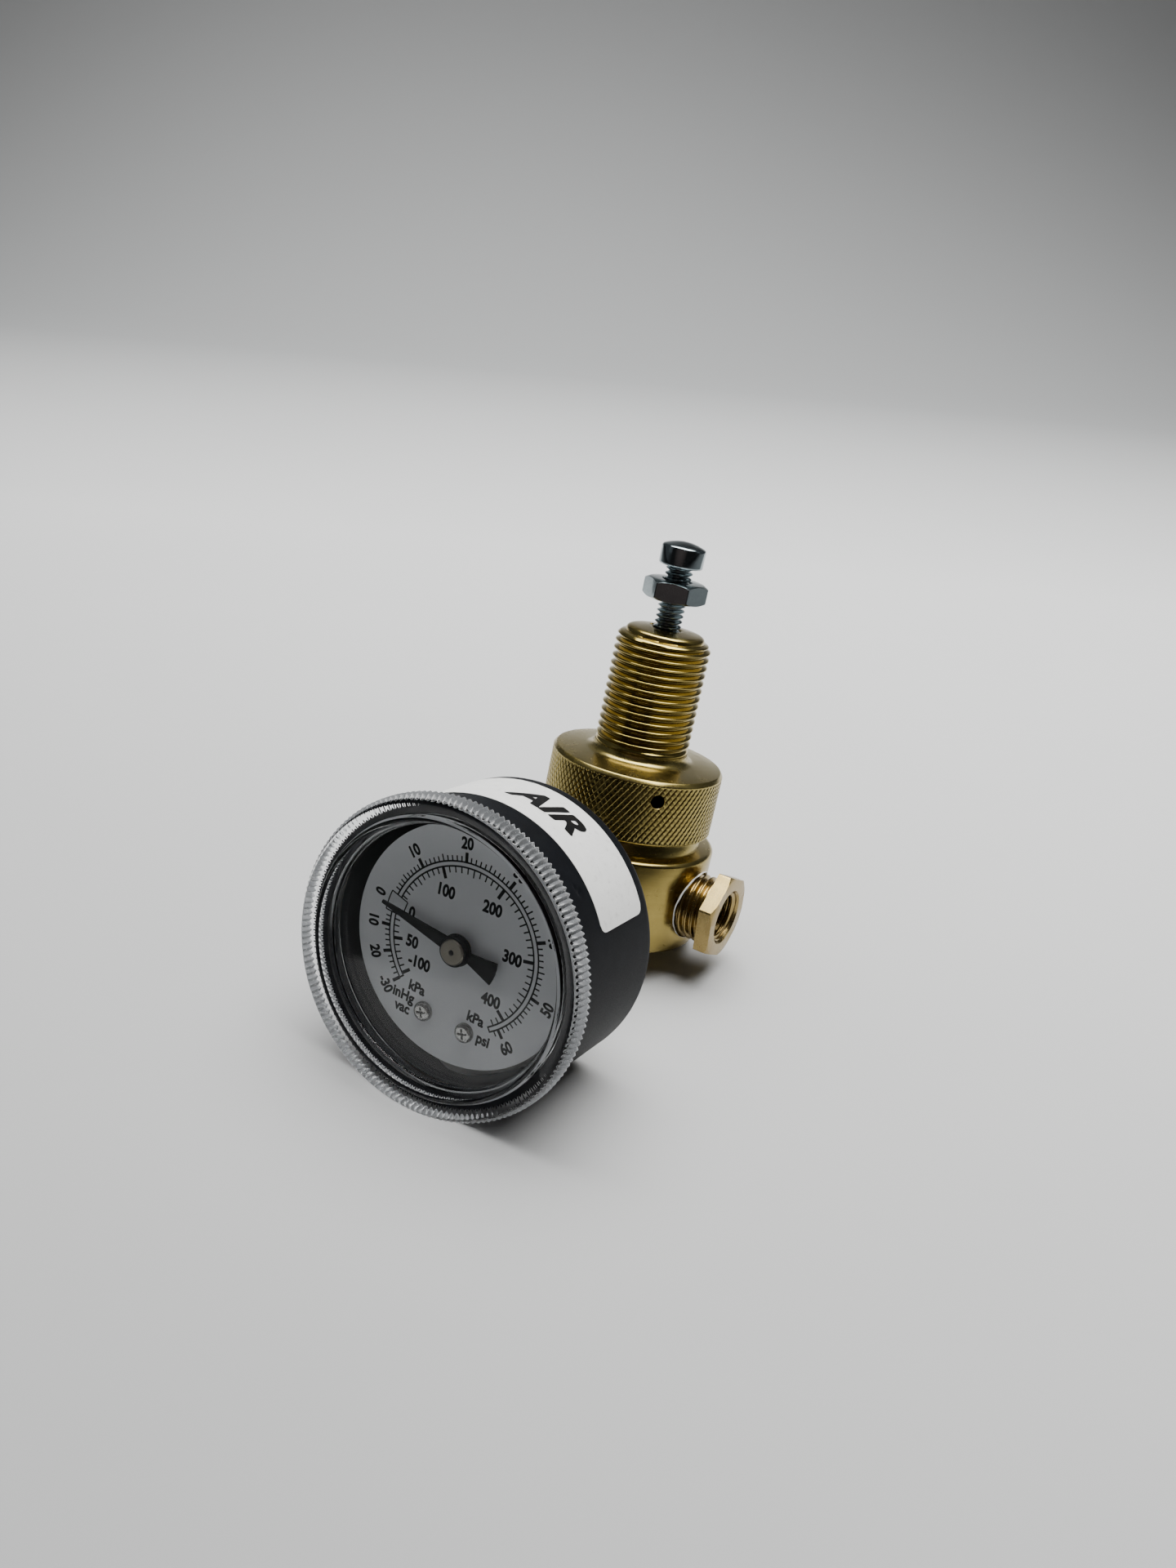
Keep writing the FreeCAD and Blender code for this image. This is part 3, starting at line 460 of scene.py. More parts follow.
def rim_plastic():
    """The same plastic where its teeth and scuffs scatter the light."""
    s = Surface("rim_plastic", (0.30, 0.31, 0.32), roughness=0.20, Transmission_Weight=0.5, IOR=1.49)
    scuffs = s.noise(1500, 3.0, 0.6)
    s.rough(s.remap(scuffs, 0.35, 0.7, 0.15, 0.32))
    s.tint(s.remap(s.noise(300, 3.0, 0.6), 0.4, 0.75, 0.0, 0.6), (0.22, 0.23, 0.24))
    s.bump(scuffs, 8e-6, 0.5)
    return s


clear = clear_plastic()
toothed = rim_plastic()

scuffs = label_white.remap(label_white.noise(650, 5.0, 0.7), 0.56, 0.72, 0.0, 0.5)
label_white.tint(scuffs, (0.46, 0.45, 0.43))


def second_material(obj, surface, kind, chosen):
    """Give another material to the faces whose (r, z) in the local frame is chosen."""
    obj.data.materials.append(surface.mat)
    for face in obj.data.polygons:
        x, y, z = (v / MM for v in face.center)
        r, along = (math.hypot(x, z - port_z), -y) if kind == "gauge" else (math.hypot(x, y), z)
        if chosen(r, along):
            face.material_index = len(obj.data.materials) - 1


def dress(obj, surface, body, slot, *replaced):
    obj.data.materials.clear()
    obj.data.materials.append(surface.mat)
    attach(obj, body)
    if replaced:
        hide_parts(*replaced)
    return obj


# ---------------------------------------------------------------- bonnet
CAP_R, NECK_R = 17.46, 15.9
KNURL_LOW, KNURL_HIGH = -14.85, -3.15
KNURL_LINES = 90


def knurl(r, z, angles, index):
    """Right-leaning cut lines, crossed by a much fainter opposite set."""
    radii = np.full_like(angles, float(r))
    if not (KNURL_LOW - 0.01 <= z <= KNURL_HIGH + 0.01):
        return radii
    lean = math.tan(math.radians(33)) / CAP_R
    edge = min(1.0, (z - KNURL_LOW) / 0.25 + 0.15, (KNURL_HIGH - z) / 0.25 + 0.15)
    main = ((angles - z * lean) * KNURL_LINES / TAU) % 1.0
    cross = ((angles + z * lean) * KNURL_LINES / TAU) % 1.0
    deep = 0.26 * np.clip(1 - np.abs(main - 0.5) / 0.17, 0, 1)
    faint = 0.11 * np.clip(1 - np.abs(cross - 0.5) / 0.17, 0, 1)
    return radii - edge * np.maximum(deep, faint) - 0.02 * edge


outline = [(NECK_R, -20.2), (NECK_R, -16.6), (NECK_R - 0.25, -16.3), (NECK_R - 0.25, -15.2),
           (CAP_R - 0.35, -15.2)]
outline += [(CAP_R - 0.08, -15.08), (CAP_R, -14.95)]
outline += [(CAP_R, z) for z in np.linspace(KNURL_LOW, KNURL_HIGH, 92)]
outline += [(CAP_R, -3.0), (CAP_R - 0.06, -2.9), (16.96, -2.32), (16.86, -2.24), (16.7, -2.21),
            (14.0, -1.97), (11.4, -1.74)]
outline += [(10.9, -1.68), (10.4, -1.48), (10.0, -1.2), (9.72, -0.85), (9.58, -0.5), (9.5, -0.1)]
cap = lathe("bonnet_cap", outline, "regulator", segments=KNURL_LINES * 14, radius_at=knurl, smooth_angle=50)
vent_deg, vent_z = -48.0, -6.1
vent_way = np.array([math.cos(math.radians(vent_deg)), math.sin(math.radians(vent_deg)), 0])


def open_vent(obj):
    """Clear a round hole in the cap and draw its edge onto the hole's circle."""
    centre = vent_way * CAP_R + np.array([0, 0, vent_z])
    side = np.array([-vent_way[1], vent_way[0], 0])
    bm = bmesh.new()
    bm.from_mesh(obj.data)
    gone = []
    for v in bm.verts:
        p = np.array(v.co) / MM - centre
        across, up = p @ side, p[2]
        if abs(p @ vent_way) < 1.5 and math.hypot(across, up) < 1.42:
            gone.append(v)
    bmesh.ops.delete(bm, geom=gone, context="VERTS")
    for v in bm.verts:
        p = np.array(v.co) / MM - centre
        across, up = p @ side, p[2]
        d = math.hypot(across, up)
        if v.is_boundary and d < 2.2 and abs(p @ vent_way) < 1.5:
            lift = np.array([0, 0, up / d * 1.42])
            new = centre + side * across / d * 1.42 + lift + vent_way * (p @ vent_way)
            v.co = Vector(new * MM)
    bm.to_mesh(obj.data)
    bm.free()


open_vent(cap)
dress(cap, knurl_brass, "regulator", "brass_body", "bonnet")


def vent_place(p):
    """Local points with +Z out of the vent."""
    side = np.array([-vent_way[1], vent_way[0], 0])
    return (p[..., :1] * side + p[..., 1:2] * np.array([0, 0, 1.0]) + p[..., 2:] * vent_way
            + np.array([0, 0, vent_z])) * MM


def vent_bore():
    rows = []
    angles = np.arange(48) / 48 * TAU
    for r, z in [(1.55, 17.18), (1.5, 17.42), (1.40, 17.44), (1.33, 17.36), (1.30, 17.2), (1.30, 11.5)]:
        rows.append(np.stack([r * np.cos(angles), r * np.sin(angles), np.full(48, z)], -1))
    pts = np.array(rows)
    # keep the lip on the round side of the cap
    across = pts[:4, :, 0]
    pts[:4, :, 2] += np.sqrt(CAP_R ** 2 - across ** 2) - CAP_R
    verts = vent_place(pts).reshape(-1, 3)
    return clean(make_object("vent_bore", verts, grid_faces(6, 48, True)), smooth_angle=50)


dress(vent_bore(), body_brass, "regulator", "brass_body")


def bonnet_end(z):
    """Outer limit of the thread: a chamfer, then a step down to the round end."""
    return np.interp(z, [21.55, 21.75, 22.4, 22.5, 22.72], [9.6, 9.47, 8.86, 8.7, 7.9])


panel = thread("panel_thread", "regulator", PANEL_PITCH, 9.525, 8.55, -0.15, 22.75, fade0=2.4, end_r0=9.45,
               phase0=-0.2, columns=200, sharp=0.8, limit=bonnet_end)
dress(panel, thread_brass, "regulator", "brass_body")
end = lathe("bonnet_end", [(7.95, 22.2), (7.92, 22.8), (7.88, 23.15), (7.78, 23.4), (7.6, 23.6),
                           (7.3, 23.78), (6.9, 23.9), (6.4, 23.98), (5.0, 24.12), (3.6, 24.25),
                           (3.2, 24.28), (2.95, 24.2), (2.85, 24.0), (2.8, 23.8), (2.8, 16.0), (7.0, 16.0),
                           (7.0, -3.5)], "regulator", 160)
dress(end, body_brass, "regulator", "brass_body")


def burr():
    """Crumb of brass left standing beside the screw hole."""
    local = np.random.default_rng(4)
    rows = []
    for t in np.linspace(0, 1, 9):
        size = 0.42 * math.sqrt(max(0.0, 1 - t ** 1.6)) + 0.02
        ring = [(size * (1.5 + local.normal(0, 0.16)) * math.cos(a) + 0.25 * t,
                 size * (0.9 + local.normal(0, 0.14)) * math.sin(a), 24.02 + 0.38 * t)
                 for a in np.arange(14) / 14 * TAU]
        rows.append([(x * 0.92 - y * 0.39 - 3.62, x * 0.39 + y * 0.92 + 0.35, z) for x, y, z in ring])
    return grid_object("burr", np.array(rows), "regulator", smooth_angle=40)


dress(burr(), body_brass, "regulator", "brass_body")

# ---------------------------------------------------------------- body
bottom, top, body_r = -37.6, -18.3, 19.05
outline = [(15.93, top + 0.05), (16.1, top), (18.1, top), (18.45, top - 0.08), (18.78, top - 0.27),
           (18.98, top - 0.55), (body_r, top - 0.85), (body_r, -28.0), (body_r, bottom + 0.7),
           (body_r - 0.2, bottom + 0.3), (18.4, bottom), (7.3, bottom), (7.0, bottom + 0.25), (7.0, -33.6),
           (5.5, -33.6), (5.5, -28.2), (4.0, -28.2), (4.0, -25.5), (9.3, -25.5), (9.3, -21.7),
           (13.2, -21.7), (13.2, -21.3), (15.93, -21.3)]
shell = lathe("body_shell", outline, "regulator", 256, close=True)
for kind in ("outlet", "stem", "inlet"):
    steps = [(0, 10.6), (6.27, 10.6), (6.27, 17.0), (7.0, 17.3), (7.0, 20.5), (0, 20.5)]
    if kind == "inlet":
        steps = [(0, 3.5), (1.5, 3.5), (1.5, 10.3), (6.9, 10.6), (6.9, 17.0), (7.3, 17.9), (7.3, 20.5),
                 (0, 20.5)]
    shell = boolean(shell, capped_lathe("port_cutter", steps, kind, 96), "DIFFERENCE")
finish_mesh(shell, 30)
dress(shell, body_brass, "regulator", "brass_body", "body")
inlet = thread("inlet_thread", "inlet", PIPE_PITCH, 5.72, 6.8, 10.8, 17.6, fade1=0.9, end_r1=6.95,
               columns=96, sharp=0.7)
dress(inlet, socket_brass, "regulator", "brass_body")


# ---------------------------------------------------------------- adjusting screw and lock nut
def screw_tip(z):
    return np.clip(1.9 + (z - 11.0) * 0.95, 0, 2.745)


screw = thread("adjusting_thread", "regulator", SCREW_PITCH, 2.735, 2.12, 11.0, 36.8, columns=64, sharp=0.6,
               limit=screw_tip)
head = lathe("screw_head", [(1e-4, 36.72), (2.4, 36.72), (3.95, 36.7), (4.22, 36.78), (4.33, 36.95),
                            (4.35, 37.15), (4.35, 40.05), (4.31, 40.3), (4.2, 40.48), (4.0, 40.63),
                            (3.4, 40.86), (2.6, 41.12), (1.7, 41.33), (0.8, 41.46),
                            (1e-4, 41.49)], "regulator", 128, smooth_angle=60)
dress(join("adjusting_screw_visual", [screw, head]), zinc, "adjusting_screw", "zinc_steel",
      "adjusting_screw")

nut_low, nut_high = node_box("lock_nut")
nut = nut_blank("lock_nut_visual", "regulator", 11.11, float(nut_low[2]), float(nut_high[2]), -42.0, 5.35,
                True, True)
bore = [(0, 29), (3.15, 29), (3.15, 29.9), (2.82, 30.25), (2.82, 33.5), (3.15, 33.88), (3.15, 35), (0, 35)]
nut = boolean(nut, capped_lathe("nut_bore", bore, "regulator", 64), "DIFFERENCE")
dress(finish_mesh(nut), zinc, "lock_nut", "zinc_steel", "lock_nut")

# ---------------------------------------------------------------- outlet bushing and thread tape
HEX_BACK, HEX_FACE = round(float(bush_high[0]) - 3.0, 3), round(float(bush_high[0]), 3)
bush_hex = nut_blank("bushing_hex", "outlet", 15.875, HEX_BACK, HEX_FACE, 132.0, 8.25, False, True)
cut = [(0, 17.0), (5.1, 17.0), (5.1, HEX_FACE - 0.7), (5.45, HEX_FACE - 0.35), (5.6, HEX_FACE - 0.02),
       (5.75, HEX_FACE + 0.2), (0, HEX_FACE + 0.2)]
bush_hex = finish_mesh(boolean(bush_hex, capped_lathe("bore", cut, "outlet", 96), "DIFFERENCE"))
bush_thread = thread("bushing_thread", "outlet", PIPE_PITCH, 6.84, 5.95, 16.9, HEX_BACK + 0.05, fade1=1.9,
                     end_r1=6.55, columns=128, taper=0.031, sharp=0.75)
bush_inner = thread("bushing_inner", "outlet", SMALL_PIPE_PITCH, 4.42, 5.05, 16.6, HEX_FACE - 0.35,
                    fade1=0.5, end_r1=5.15, columns=96, sharp=0.6)
core_profile = [(5.0, 16.7), (3.4, 16.4), (3.4, 11.2), (5.6, 11.2), (6.2, 11.8), (6.2, 17.0)]
bush_core = lathe("bushing_core", core_profile, "outlet", 96)
dress(join("bushing_visual", [bush_hex, bush_thread, bush_inner, bush_core]), bushing_brass, "regulator",
      "brass_bushing", "port_bushing")


def tape_rim(name, kind, seed):
    """Crumpled rim of tape round a port, lying on the body's round side."""
    local = np.random.default_rng(seed)
    count, ring = 220, 12
    angles = np.arange(count) / count * TAU

    def wander(scale):
        total = np.zeros(count)
        for k in range(1, 24):
            total += local.normal() / k ** 0.8 * np.cos(k * angles + local.uniform(0, TAU))
        return total * scale

    share = 0.75 - 0.35 * np.cos(angles)
    width = (0.11 + np.abs(wander(0.05))) * share
    height = (0.16 + np.abs(wander(0.07))) * share
    shift = wander(0.045)
    rows = []
    for k in range(ring):
        a = k / ring * TAU
        r = 6.98 + shift + width * math.cos(a)
        x, y = r * np.cos(angles), r * np.sin(angles)
        surface = np.sqrt(body_r ** 2 - (y if kind == "outlet" else x) ** 2)
        z = surface + np.minimum(height * math.sin(a), 0.46) - 0.05 + local.normal(0, 0.012, count)
        rows.append(np.stack([x, y, z], -1))
    return grid_object(name, np.array(rows), kind, close=True, smooth_angle=60)


dress(tape_rim("bushing_tape_rim", "outlet", 3), tape_white, "regulator", "ptfe_tape", "bushing_seal_tape")
dress(tape_rim("stem_tape_rim", "stem", 5), tape_white, "regulator", "ptfe_tape", "stem_seal_tape")

# ---------------------------------------------------------------- gauge socket
stem = thread("stem_thread", "gauge", PIPE_PITCH, 6.84, 5.95, 16.9, 27.1, fade1=0.9, end_r1=6.6,
              columns=128, taper=0.031, sharp=0.75)
wrench = nut_blank("stem_hex", "gauge", 14.29, 27.0, 35.4, 30.0, 7.3, True, False)
inner = lathe("socket_core", [(1e-4, 10.9), (5.6, 10.9), (6.2, 11.5), (6.2, 17.0)], "gauge", 96)
spigot = lathe("socket_spigot", [(7.6, 35.3), (8.25, 35.3), (8.4, 35.45), (8.4, 36.8), (14.0, 36.8),
                                 (14.0, 40.0), (7.5, 40.0), (7.5, 49.5), (1e-4, 49.5)],
               "gauge", 128)
dress(join("socket_visual", [stem, finish_mesh(wrench), inner, spigot]), socket_brass, "regulator",
      "brass_bushing", "gauge_socket")

# ---------------------------------------------------------------- gauge case
CASE_R = 26.7
DENTS = ((45.0, 56.7, 0.9, 0.28), (47.4, 57.4, 0.5, 0.18), (-38.0, 44.0, 0.7, 0.05),
         (200.0, 50.0, 0.6, 0.06))


def dented(r, z, angles, index):
    radii = np.full_like(angles, float(r))
    if r < CASE_R - 0.02:
        return radii
    for deg, z0, size, depth in DENTS:
        away = (angles - math.radians(deg) + math.pi) % TAU - math.pi
        d2 = (away * CASE_R) ** 2 + (z - z0) ** 2
        radii = radii - depth * np.exp(-d2 / (2 * (size / 2) ** 2))
    return radii


outer = [(8.45, 36.0), (23.0, 36.0)]
outer += [(24.9 + 1.8 * math.sin(a), 37.8 - 1.8 * math.cos(a)) for a in np.linspace(0, math.pi / 2, 9)]
outer += [(CASE_R, z) for z in np.linspace(38.4, 61.0, 96)]
outer += [(CASE_R - 0.15, 61.2), (CASE_R - 0.75, 61.2), (CASE_R - 0.8, 61.0), (CASE_R - 0.8, 38.0),
          (CASE_R - 1.8, 36.8), (8.45, 36.8)]
case = lathe("case_shell", outer, "gauge", 420, close=True, radius_at=dented, smooth_angle=50)
dress(case, case_black, "regulator", "black_case", "gauge_case")
# Painted shade: the inner faces of the case take the darker copy of the enamel.
second_material(case, shaded_case_inside, "gauge", lambda r, z: r < 26.2 and z > 36.5)

# ---------------------------------------------------------------- label
LABEL_FROM, LABEL_TO, LABEL_BACK, LABEL_FRONT = math.radians(28.0), math.radians(132.0), 39.6, 54.2
LABEL_CORNER = 1.6


def label_patch():
    """Sticker wrapped on the case: rounded corners, a slightly lifted edge and a few faint creases."""
    local = np.random.default_rng(11)
    length = (LABEL_TO - LABEL_FROM) * CASE_R
    height = LABEL_FRONT - LABEL_BACK
    columns, rows = 260, 44
    creases = [(local.uniform(0, length), local.uniform(-0.6, 0.6), local.uniform(0.2, 0.6))
               for _ in range(5)]
    verts = []
    for j in range(rows):
        v = j / (rows - 1)
        z = LABEL_BACK + v * height
        edge_gap = min(z - LABEL_BACK, LABEL_FRONT - z)
        inset = 0.0
        if edge_gap < LABEL_CORNER:
            inset = LABEL_CORNER - math.sqrt(max(0, LABEL_CORNER ** 2 - (LABEL_CORNER - edge_gap) ** 2))
        for i in range(columns):
            along = inset + (length - 2 * inset) * i / (columns - 1)
            lift = 0.015 * math.exp(-edge_gap / 0.5) + 0.01 * math.exp(-min(along, length - along) / 0.5)
            for at, lean, size in creases:
                lift += 0.016 * math.exp(-((along - at - lean * (z - 47)) / size) ** 2)
            r = CASE_R + 0.065 + min(lift, 0.04)
            a = LABEL_FROM + along / CASE_R
            verts.append((r * math.cos(a), r * math.sin(a), z))
    faces = grid_faces(rows, columns, False)
    n = len(verts)
    edge = list(range(columns)) + [j * columns + columns - 1 for j in range(1, rows)]
    edge += [(rows - 1) * columns + i for i in range(columns - 2, -1, -1)]
    edge += [j * columns for j in range(rows - 2, 0, -1)]
    for k in edge:
        x, y, z = verts[k]
        r = math.hypot(x, y)
        verts.append((x / r * (CASE_R - 0.02), y / r * (CASE_R - 0.02), z))
    for k in range(len(edge)):
        m = (k + 1) % len(edge)
        faces.append((edge[k], edge[m], n + m, n + k))
    return finish_mesh(make_object("label_film", place(verts, "gauge"), faces), 50)


dress(label_patch(), label_white, "regulator", "label_white", "gauge_label")


def text_outline(words, weight=0.0, shear=0.0, resolution=6):
    """Flat mesh of generic lettering.  weight thickens it by laying shifted copies over each other."""
    curve = bpy.data.curves.new("words", "FONT")
    curve.body = words
    curve.offset = 0.015
    curve.shear = shear
    curve.resolution_u = resolution
    obj = bpy.data.objects.new("words", curve)
    bpy.context.scene.collection.objects.link(obj)
    bpy.context.view_layer.update()
    mesh = bpy.data.meshes.new_from_object(obj.evaluated_get(bpy.context.evaluated_depsgraph_get()))
    co = np.array([v.co for v in mesh.vertices], float).reshape(-1, 3)[:, :2]
    faces = [tuple(p.vertices) for p in mesh.polygons]
    bpy.data.objects.remove(obj)
    bpy.data.meshes.remove(mesh)
    shifts = [(0, 0)] + [(weight * math.cos(a), weight * math.sin(a)) for a in np.arange(8) / 8 * TAU
                         if weight]
    every = np.concatenate([co + np.array(shift) for shift in shifts])
    return every, [tuple(i + len(co) * k for i in f) for k in range(len(shifts)) for f in faces]


def wrapped_word():
    """The word on the label, in slanted heavy capitals, bent round the case."""
    co, faces = text_outline("AIR", weight=0.028, shear=0.30)
    low, high = co.min(0), co.max(0)
    unit = (co - low) / (high - low)
    bm = bmesh.new()
    vs = [bm.verts.new((x, y, 0)) for x, y in unit]
    for f in faces:
        if len(set(f)) > 2:
            try:
                bm.faces.new([vs[i] for i in f])
            except ValueError:
                pass
    bmesh.ops.triangulate(bm, faces=bm.faces)
    for _ in range(3):
        long_edges = [e for e in bm.edges if e.calc_length() > 0.03]
        bmesh.ops.subdivide_edges(bm, edges=long_edges, cuts=1)
        bmesh.ops.triangulate(bm, faces=bm.faces)
    start, stop = math.radians(96.6), math.radians(64.2)
    front, back = 49.3, 43.3
    pts = []
    for v in bm.verts:
        a = start + (stop - start) * v.co.x
        r = CASE_R + 0.108
        pts.append((r * math.cos(a), r * math.sin(a), front + (back - front) * v.co.y))
    pts = place(pts, "gauge")
    for v, p in zip(bm.verts, pts):
        v.co = Vector(p)
    bmesh.ops.recalc_face_normals(bm, faces=bm.faces)
    mesh = bpy.data.meshes.new("label_word")
    bm.to_mesh(mesh)
    bm.free()
    obj = bpy.data.objects.new("label_word", mesh)
    bpy.context.scene.collection.objects.link(obj)
    return obj


dress(wrapped_word(), ink, "regulator", "label_white")

# ---------------------------------------------------------------- clear front
TEETH = 160
lens_profile = [(1e-4, 60.3), (12.0, 60.3), (24.0, 60.3), (24.2, 60.3), (24.5, 60.1), (24.6, 59.8),
                (24.6, 57.6), (24.7, 57.5), (25.5, 57.5), (25.6, 57.6), (25.6, 61.95), (27.3, 61.93),
                (28.0, 61.92), (28.3, 62.0), (28.48, 62.25), (28.5, 62.6), (28.5, 64.1), (28.45, 64.45),
                (28.3, 64.75), (28.05, 65.1), (27.75, 65.5), (27.45, 65.85), (27.25, 65.97), (27.0, 65.96),
                (26.6, 65.8), (26.0, 65.5), (25.4, 65.2), (25.02, 65.05), (24.9, 65.15), (24.75, 65.4),
                (24.55, 65.52), (24.15, 65.52), (23.9, 65.4), (23.7, 64.9), (23.4, 63.6), (23.15, 62.55),
                (23.05, 62.36), (22.95, 62.3), (22.8, 62.3), (12.0, 62.3), (1e-4, 62.3)]


def serrated(r, z, angles, index):
    radii = np.full_like(angles, float(r))
    if r < 27.3 or z < 61.9:
        return radii
    fade = min(1.0, max(0.0, (65.75 - z) / 0.9))
    wave = np.abs((angles * TEETH / TAU) % 1.0 - 0.5) * 2
    return radii - 0.55 * fade * np.clip(wave * 1.15 - 0.1, 0, 1)


lens = lathe("clear_front", lens_profile, "gauge", TEETH * 8, radius_at=serrated, smooth_angle=38)
dress(lens, clear, "regulator", "clear_lens", "gauge_lens")
lens.visible_shadow = False
second_material(lens, toothed, "gauge", lambda r, z: r > 27.75 and z > 61.98)
# The rim's back ring takes the same darkened black, so that what shows through the bezel looks dark.
second_material(lens, shaded_case_inside, "gauge", lambda r, z: 25.6 < r < 27.2 and 61.9 < z < 61.97)

# ---------------------------------------------------------------- dial print
PRINT_Z = 55.6 + 0.02


class Print:
    """Flat ink shapes gathered into one mesh; angles in degrees from the right, turning up."""

    def __init__(self):
        self.verts, self.faces = [], []

    def shape(self, pts, faces, z=PRINT_Z):
        n = len(self.verts)
        self.verts += [(x, y, z) for x, y in pts]
        self.faces += [tuple(i + n for i in f) for f in faces]

    def arc(self, radius, width, a, b, steps=96):
        t = np.radians(np.linspace(a, b, steps))
        inner, outer_r = radius - width / 2, radius + width / 2
        pts = [(r * math.cos(x), r * math.sin(x)) for r in (outer_r, inner) for x in t]
        self.shape(pts, [(i, i + 1, steps + i + 1, steps + i) for i in range(steps - 1)])

    def tick(self, angle, r0, r1, width):
        a = math.radians(angle)
        along = np.array([math.cos(a), math.sin(a)])
        side = np.array([-math.sin(a), math.cos(a)]) * width / 2
        self.shape([along * r0 - side, along * r1 - side, along * r1 + side, along * r0 + side],
                   [(0, 1, 2, 3)])

    def words(self, text, x, y, height, turn=0.0, squeeze=0.84, bold=0.026):
        co, faces = text_outline(text, weight=bold)
        cap_high = text_outline("0", weight=bold)[0].max(0)[1]
        scale = height / cap_high
        middle = (co.min(0) + co.max(0)) / 2
        middle[1] = cap_high / 2
        local = (co - middle) * np.array([scale * squeeze, scale])
        t = math.radians(turn)
        spin = np.array([[math.cos(t), math.sin(t)], [-math.sin(t), math.cos(t)]])
        self.shape(local @ spin + np.array([x, y]), faces)

    def around(self, text, radius, angle, height, upright=False, **more):
        """Lettering on a circle: along it, reading from outside in the lower half, or level."""
        a = math.radians(angle)
        turn = 0.0 if upright else angle + (90 if math.sin(a) < 0 else -90)
        self.words(text, radius * math.cos(a), radius * math.sin(a), height, turn, **more)

    def build(self, name):
        faces = []
        v = np.array(self.verts)
        for f in self.faces:
            p = v[list(f)][:, :2]
            area = sum(p[i][0] * p[(i + 1) % len(p)][1] - p[(i + 1) % len(p)][0] * p[i][1]
                       for i in range(len(p)))
            faces.append(f if area > 0 else f[::-1])
        return make_object(name, place(v, "dial"), faces)


def between(value, marks):
    """Angle of a scale value, straight-line between the numbered marks."""
    for (v0, a0), (v1, a1) in zip(marks, marks[1:]):
        if v0 <= value <= v1:
            return a0 + (a1 - a0) * (value - v0) / (v1 - v0)
    raise ValueError(value)


PSI = ((0, 165.5), (10, 132.8), (20, 98.0), (30, 62.8), (40, 24.4), (50, -13.3), (60, -49.5), (62, -56.5))
KPA = ((0, 165.5), (100, 117.1), (200, 65.2), (300, 10.7), (400, -42.2), (430, -56.5))
INHG = ((0, 170.5), (10, 185.8), (20, 203.3), (30, 222.2))
KPA_VAC = ((0, 170.5), (50, 194.1), (100, 220.1))
OUT_R, IN_R, LINE = 15.3, 14.4, 0.30
ZERO_FROM, ZERO_TO = 162.7, 176.0

dial_print = Print()
for radius in (OUT_R, IN_R):
    dial_print.arc(radius, LINE, ZERO_FROM, -56.5, 220)
    dial_print.arc(radius, LINE, ZERO_TO, 222.2, 60)
dial_print.tick(-56.5, IN_R - LINE / 2, OUT_R + LINE / 2, LINE)
dial_print.tick(222.2, IN_R - LINE / 2, OUT_R + LINE / 2, LINE)
for psi in range(1, 62):
    long_mark = psi % 10 == 0
    half = psi % 5 == 0
    angle = between(psi, PSI)
    if angle < ZERO_FROM - 1:
        dial_print.tick(angle, OUT_R, 17.05 if long_mark else 16.6 if half else 16.3,
                        0.62 if long_mark else 0.27)
for kpa in range(10, 430, 10):
    long_mark = kpa % 100 == 0
    half = kpa % 50 == 0
    angle = between(kpa, KPA)
    if angle < ZERO_FROM - 1:
        dial_print.tick(angle, 12.3 if long_mark else 12.9 if half else 13.25, IN_R,
                        0.62 if long_mark else 0.27)
for value in range(2, 32, 2):
    angle = between(value, INHG) if value <= 30 else 0
    if angle > ZERO_TO + 1:
        dial_print.tick(angle, OUT_R, 17.05 if value % 10 == 0 else 16.3, 0.62 if value % 10 == 0 else 0.27)
for kpa in range(10, 110, 10):
    angle = between(kpa, KPA_VAC)
    if angle > ZERO_TO + 1:
        dial_print.tick(angle, 12.5 if kpa % 50 == 0 else 13.25, IN_R, 0.62 if kpa % 50 == 0 else 0.27)
for angle in (ZERO_FROM, ZERO_TO):
    dial_print.tick(angle, 12.9, 16.6, 0.24)
for radius in (12.9, 16.6):
    dial_print.arc(radius, 0.24, ZERO_FROM, ZERO_TO, 12)
for text, angle in (("0", 168.0), ("10", 132.8), ("20", 98.0), ("30", 62.8), ("40", 24.4)):
    dial_print.around(text, 18.75, angle, 2.1)
for text, angle in (("50", -13.3), ("60", -49.5), ("10", 185.8), ("20", 203.3), ("-30", 222.2)):
    dial_print.around(text, 18.75, angle, 2.1)
for text, radius, angle in (("100", 10.2, 119.0), ("200", 10.2, 64.0), ("300", 10.2, 11.4),
                            ("400", 10.2, -43.0), ("0", 11.4, 167.5), ("50", 10.4, 195.0),
                            ("-100", 9.9, 217.2)):
    dial_print.around(text, radius, angle, 2.2, upright=True)
for text, x, y in (("kPa", -7.4, -10.7), ("inHg", -9.9, -13.0), ("vac", -9.8, -15.4), ("kPa", 5.3, -11.5),
                   ("psi", 7.5, -14.7)):
    dial_print.words(text, x, y, 2.0, turn=-3.0, squeeze=0.9)
dress(dial_print.build("dial_print"), ink, "regulator", "dial_white")

# ---------------------------------------------------------------- pointer boss
boss = lathe("pointer_boss", [(2.36, 57.3), (2.72, 57.3), (2.78, 57.4), (2.76, 58.3), (2.66, 58.46),
                              (2.5, 58.5), (2.36, 58.5)],
             "dial", 96, close=True)
dress(boss, pointer_black, "pointer", "black_pointer")
pit = lathe("hub_centre", [(1e-4, 58.9), (0.3, 58.905), (0.40, 58.915), (0.44, 58.90), (0.44, 58.7)],
            "dial", 32)
dress(pit, pointer_black, "pointer", "black_pointer")

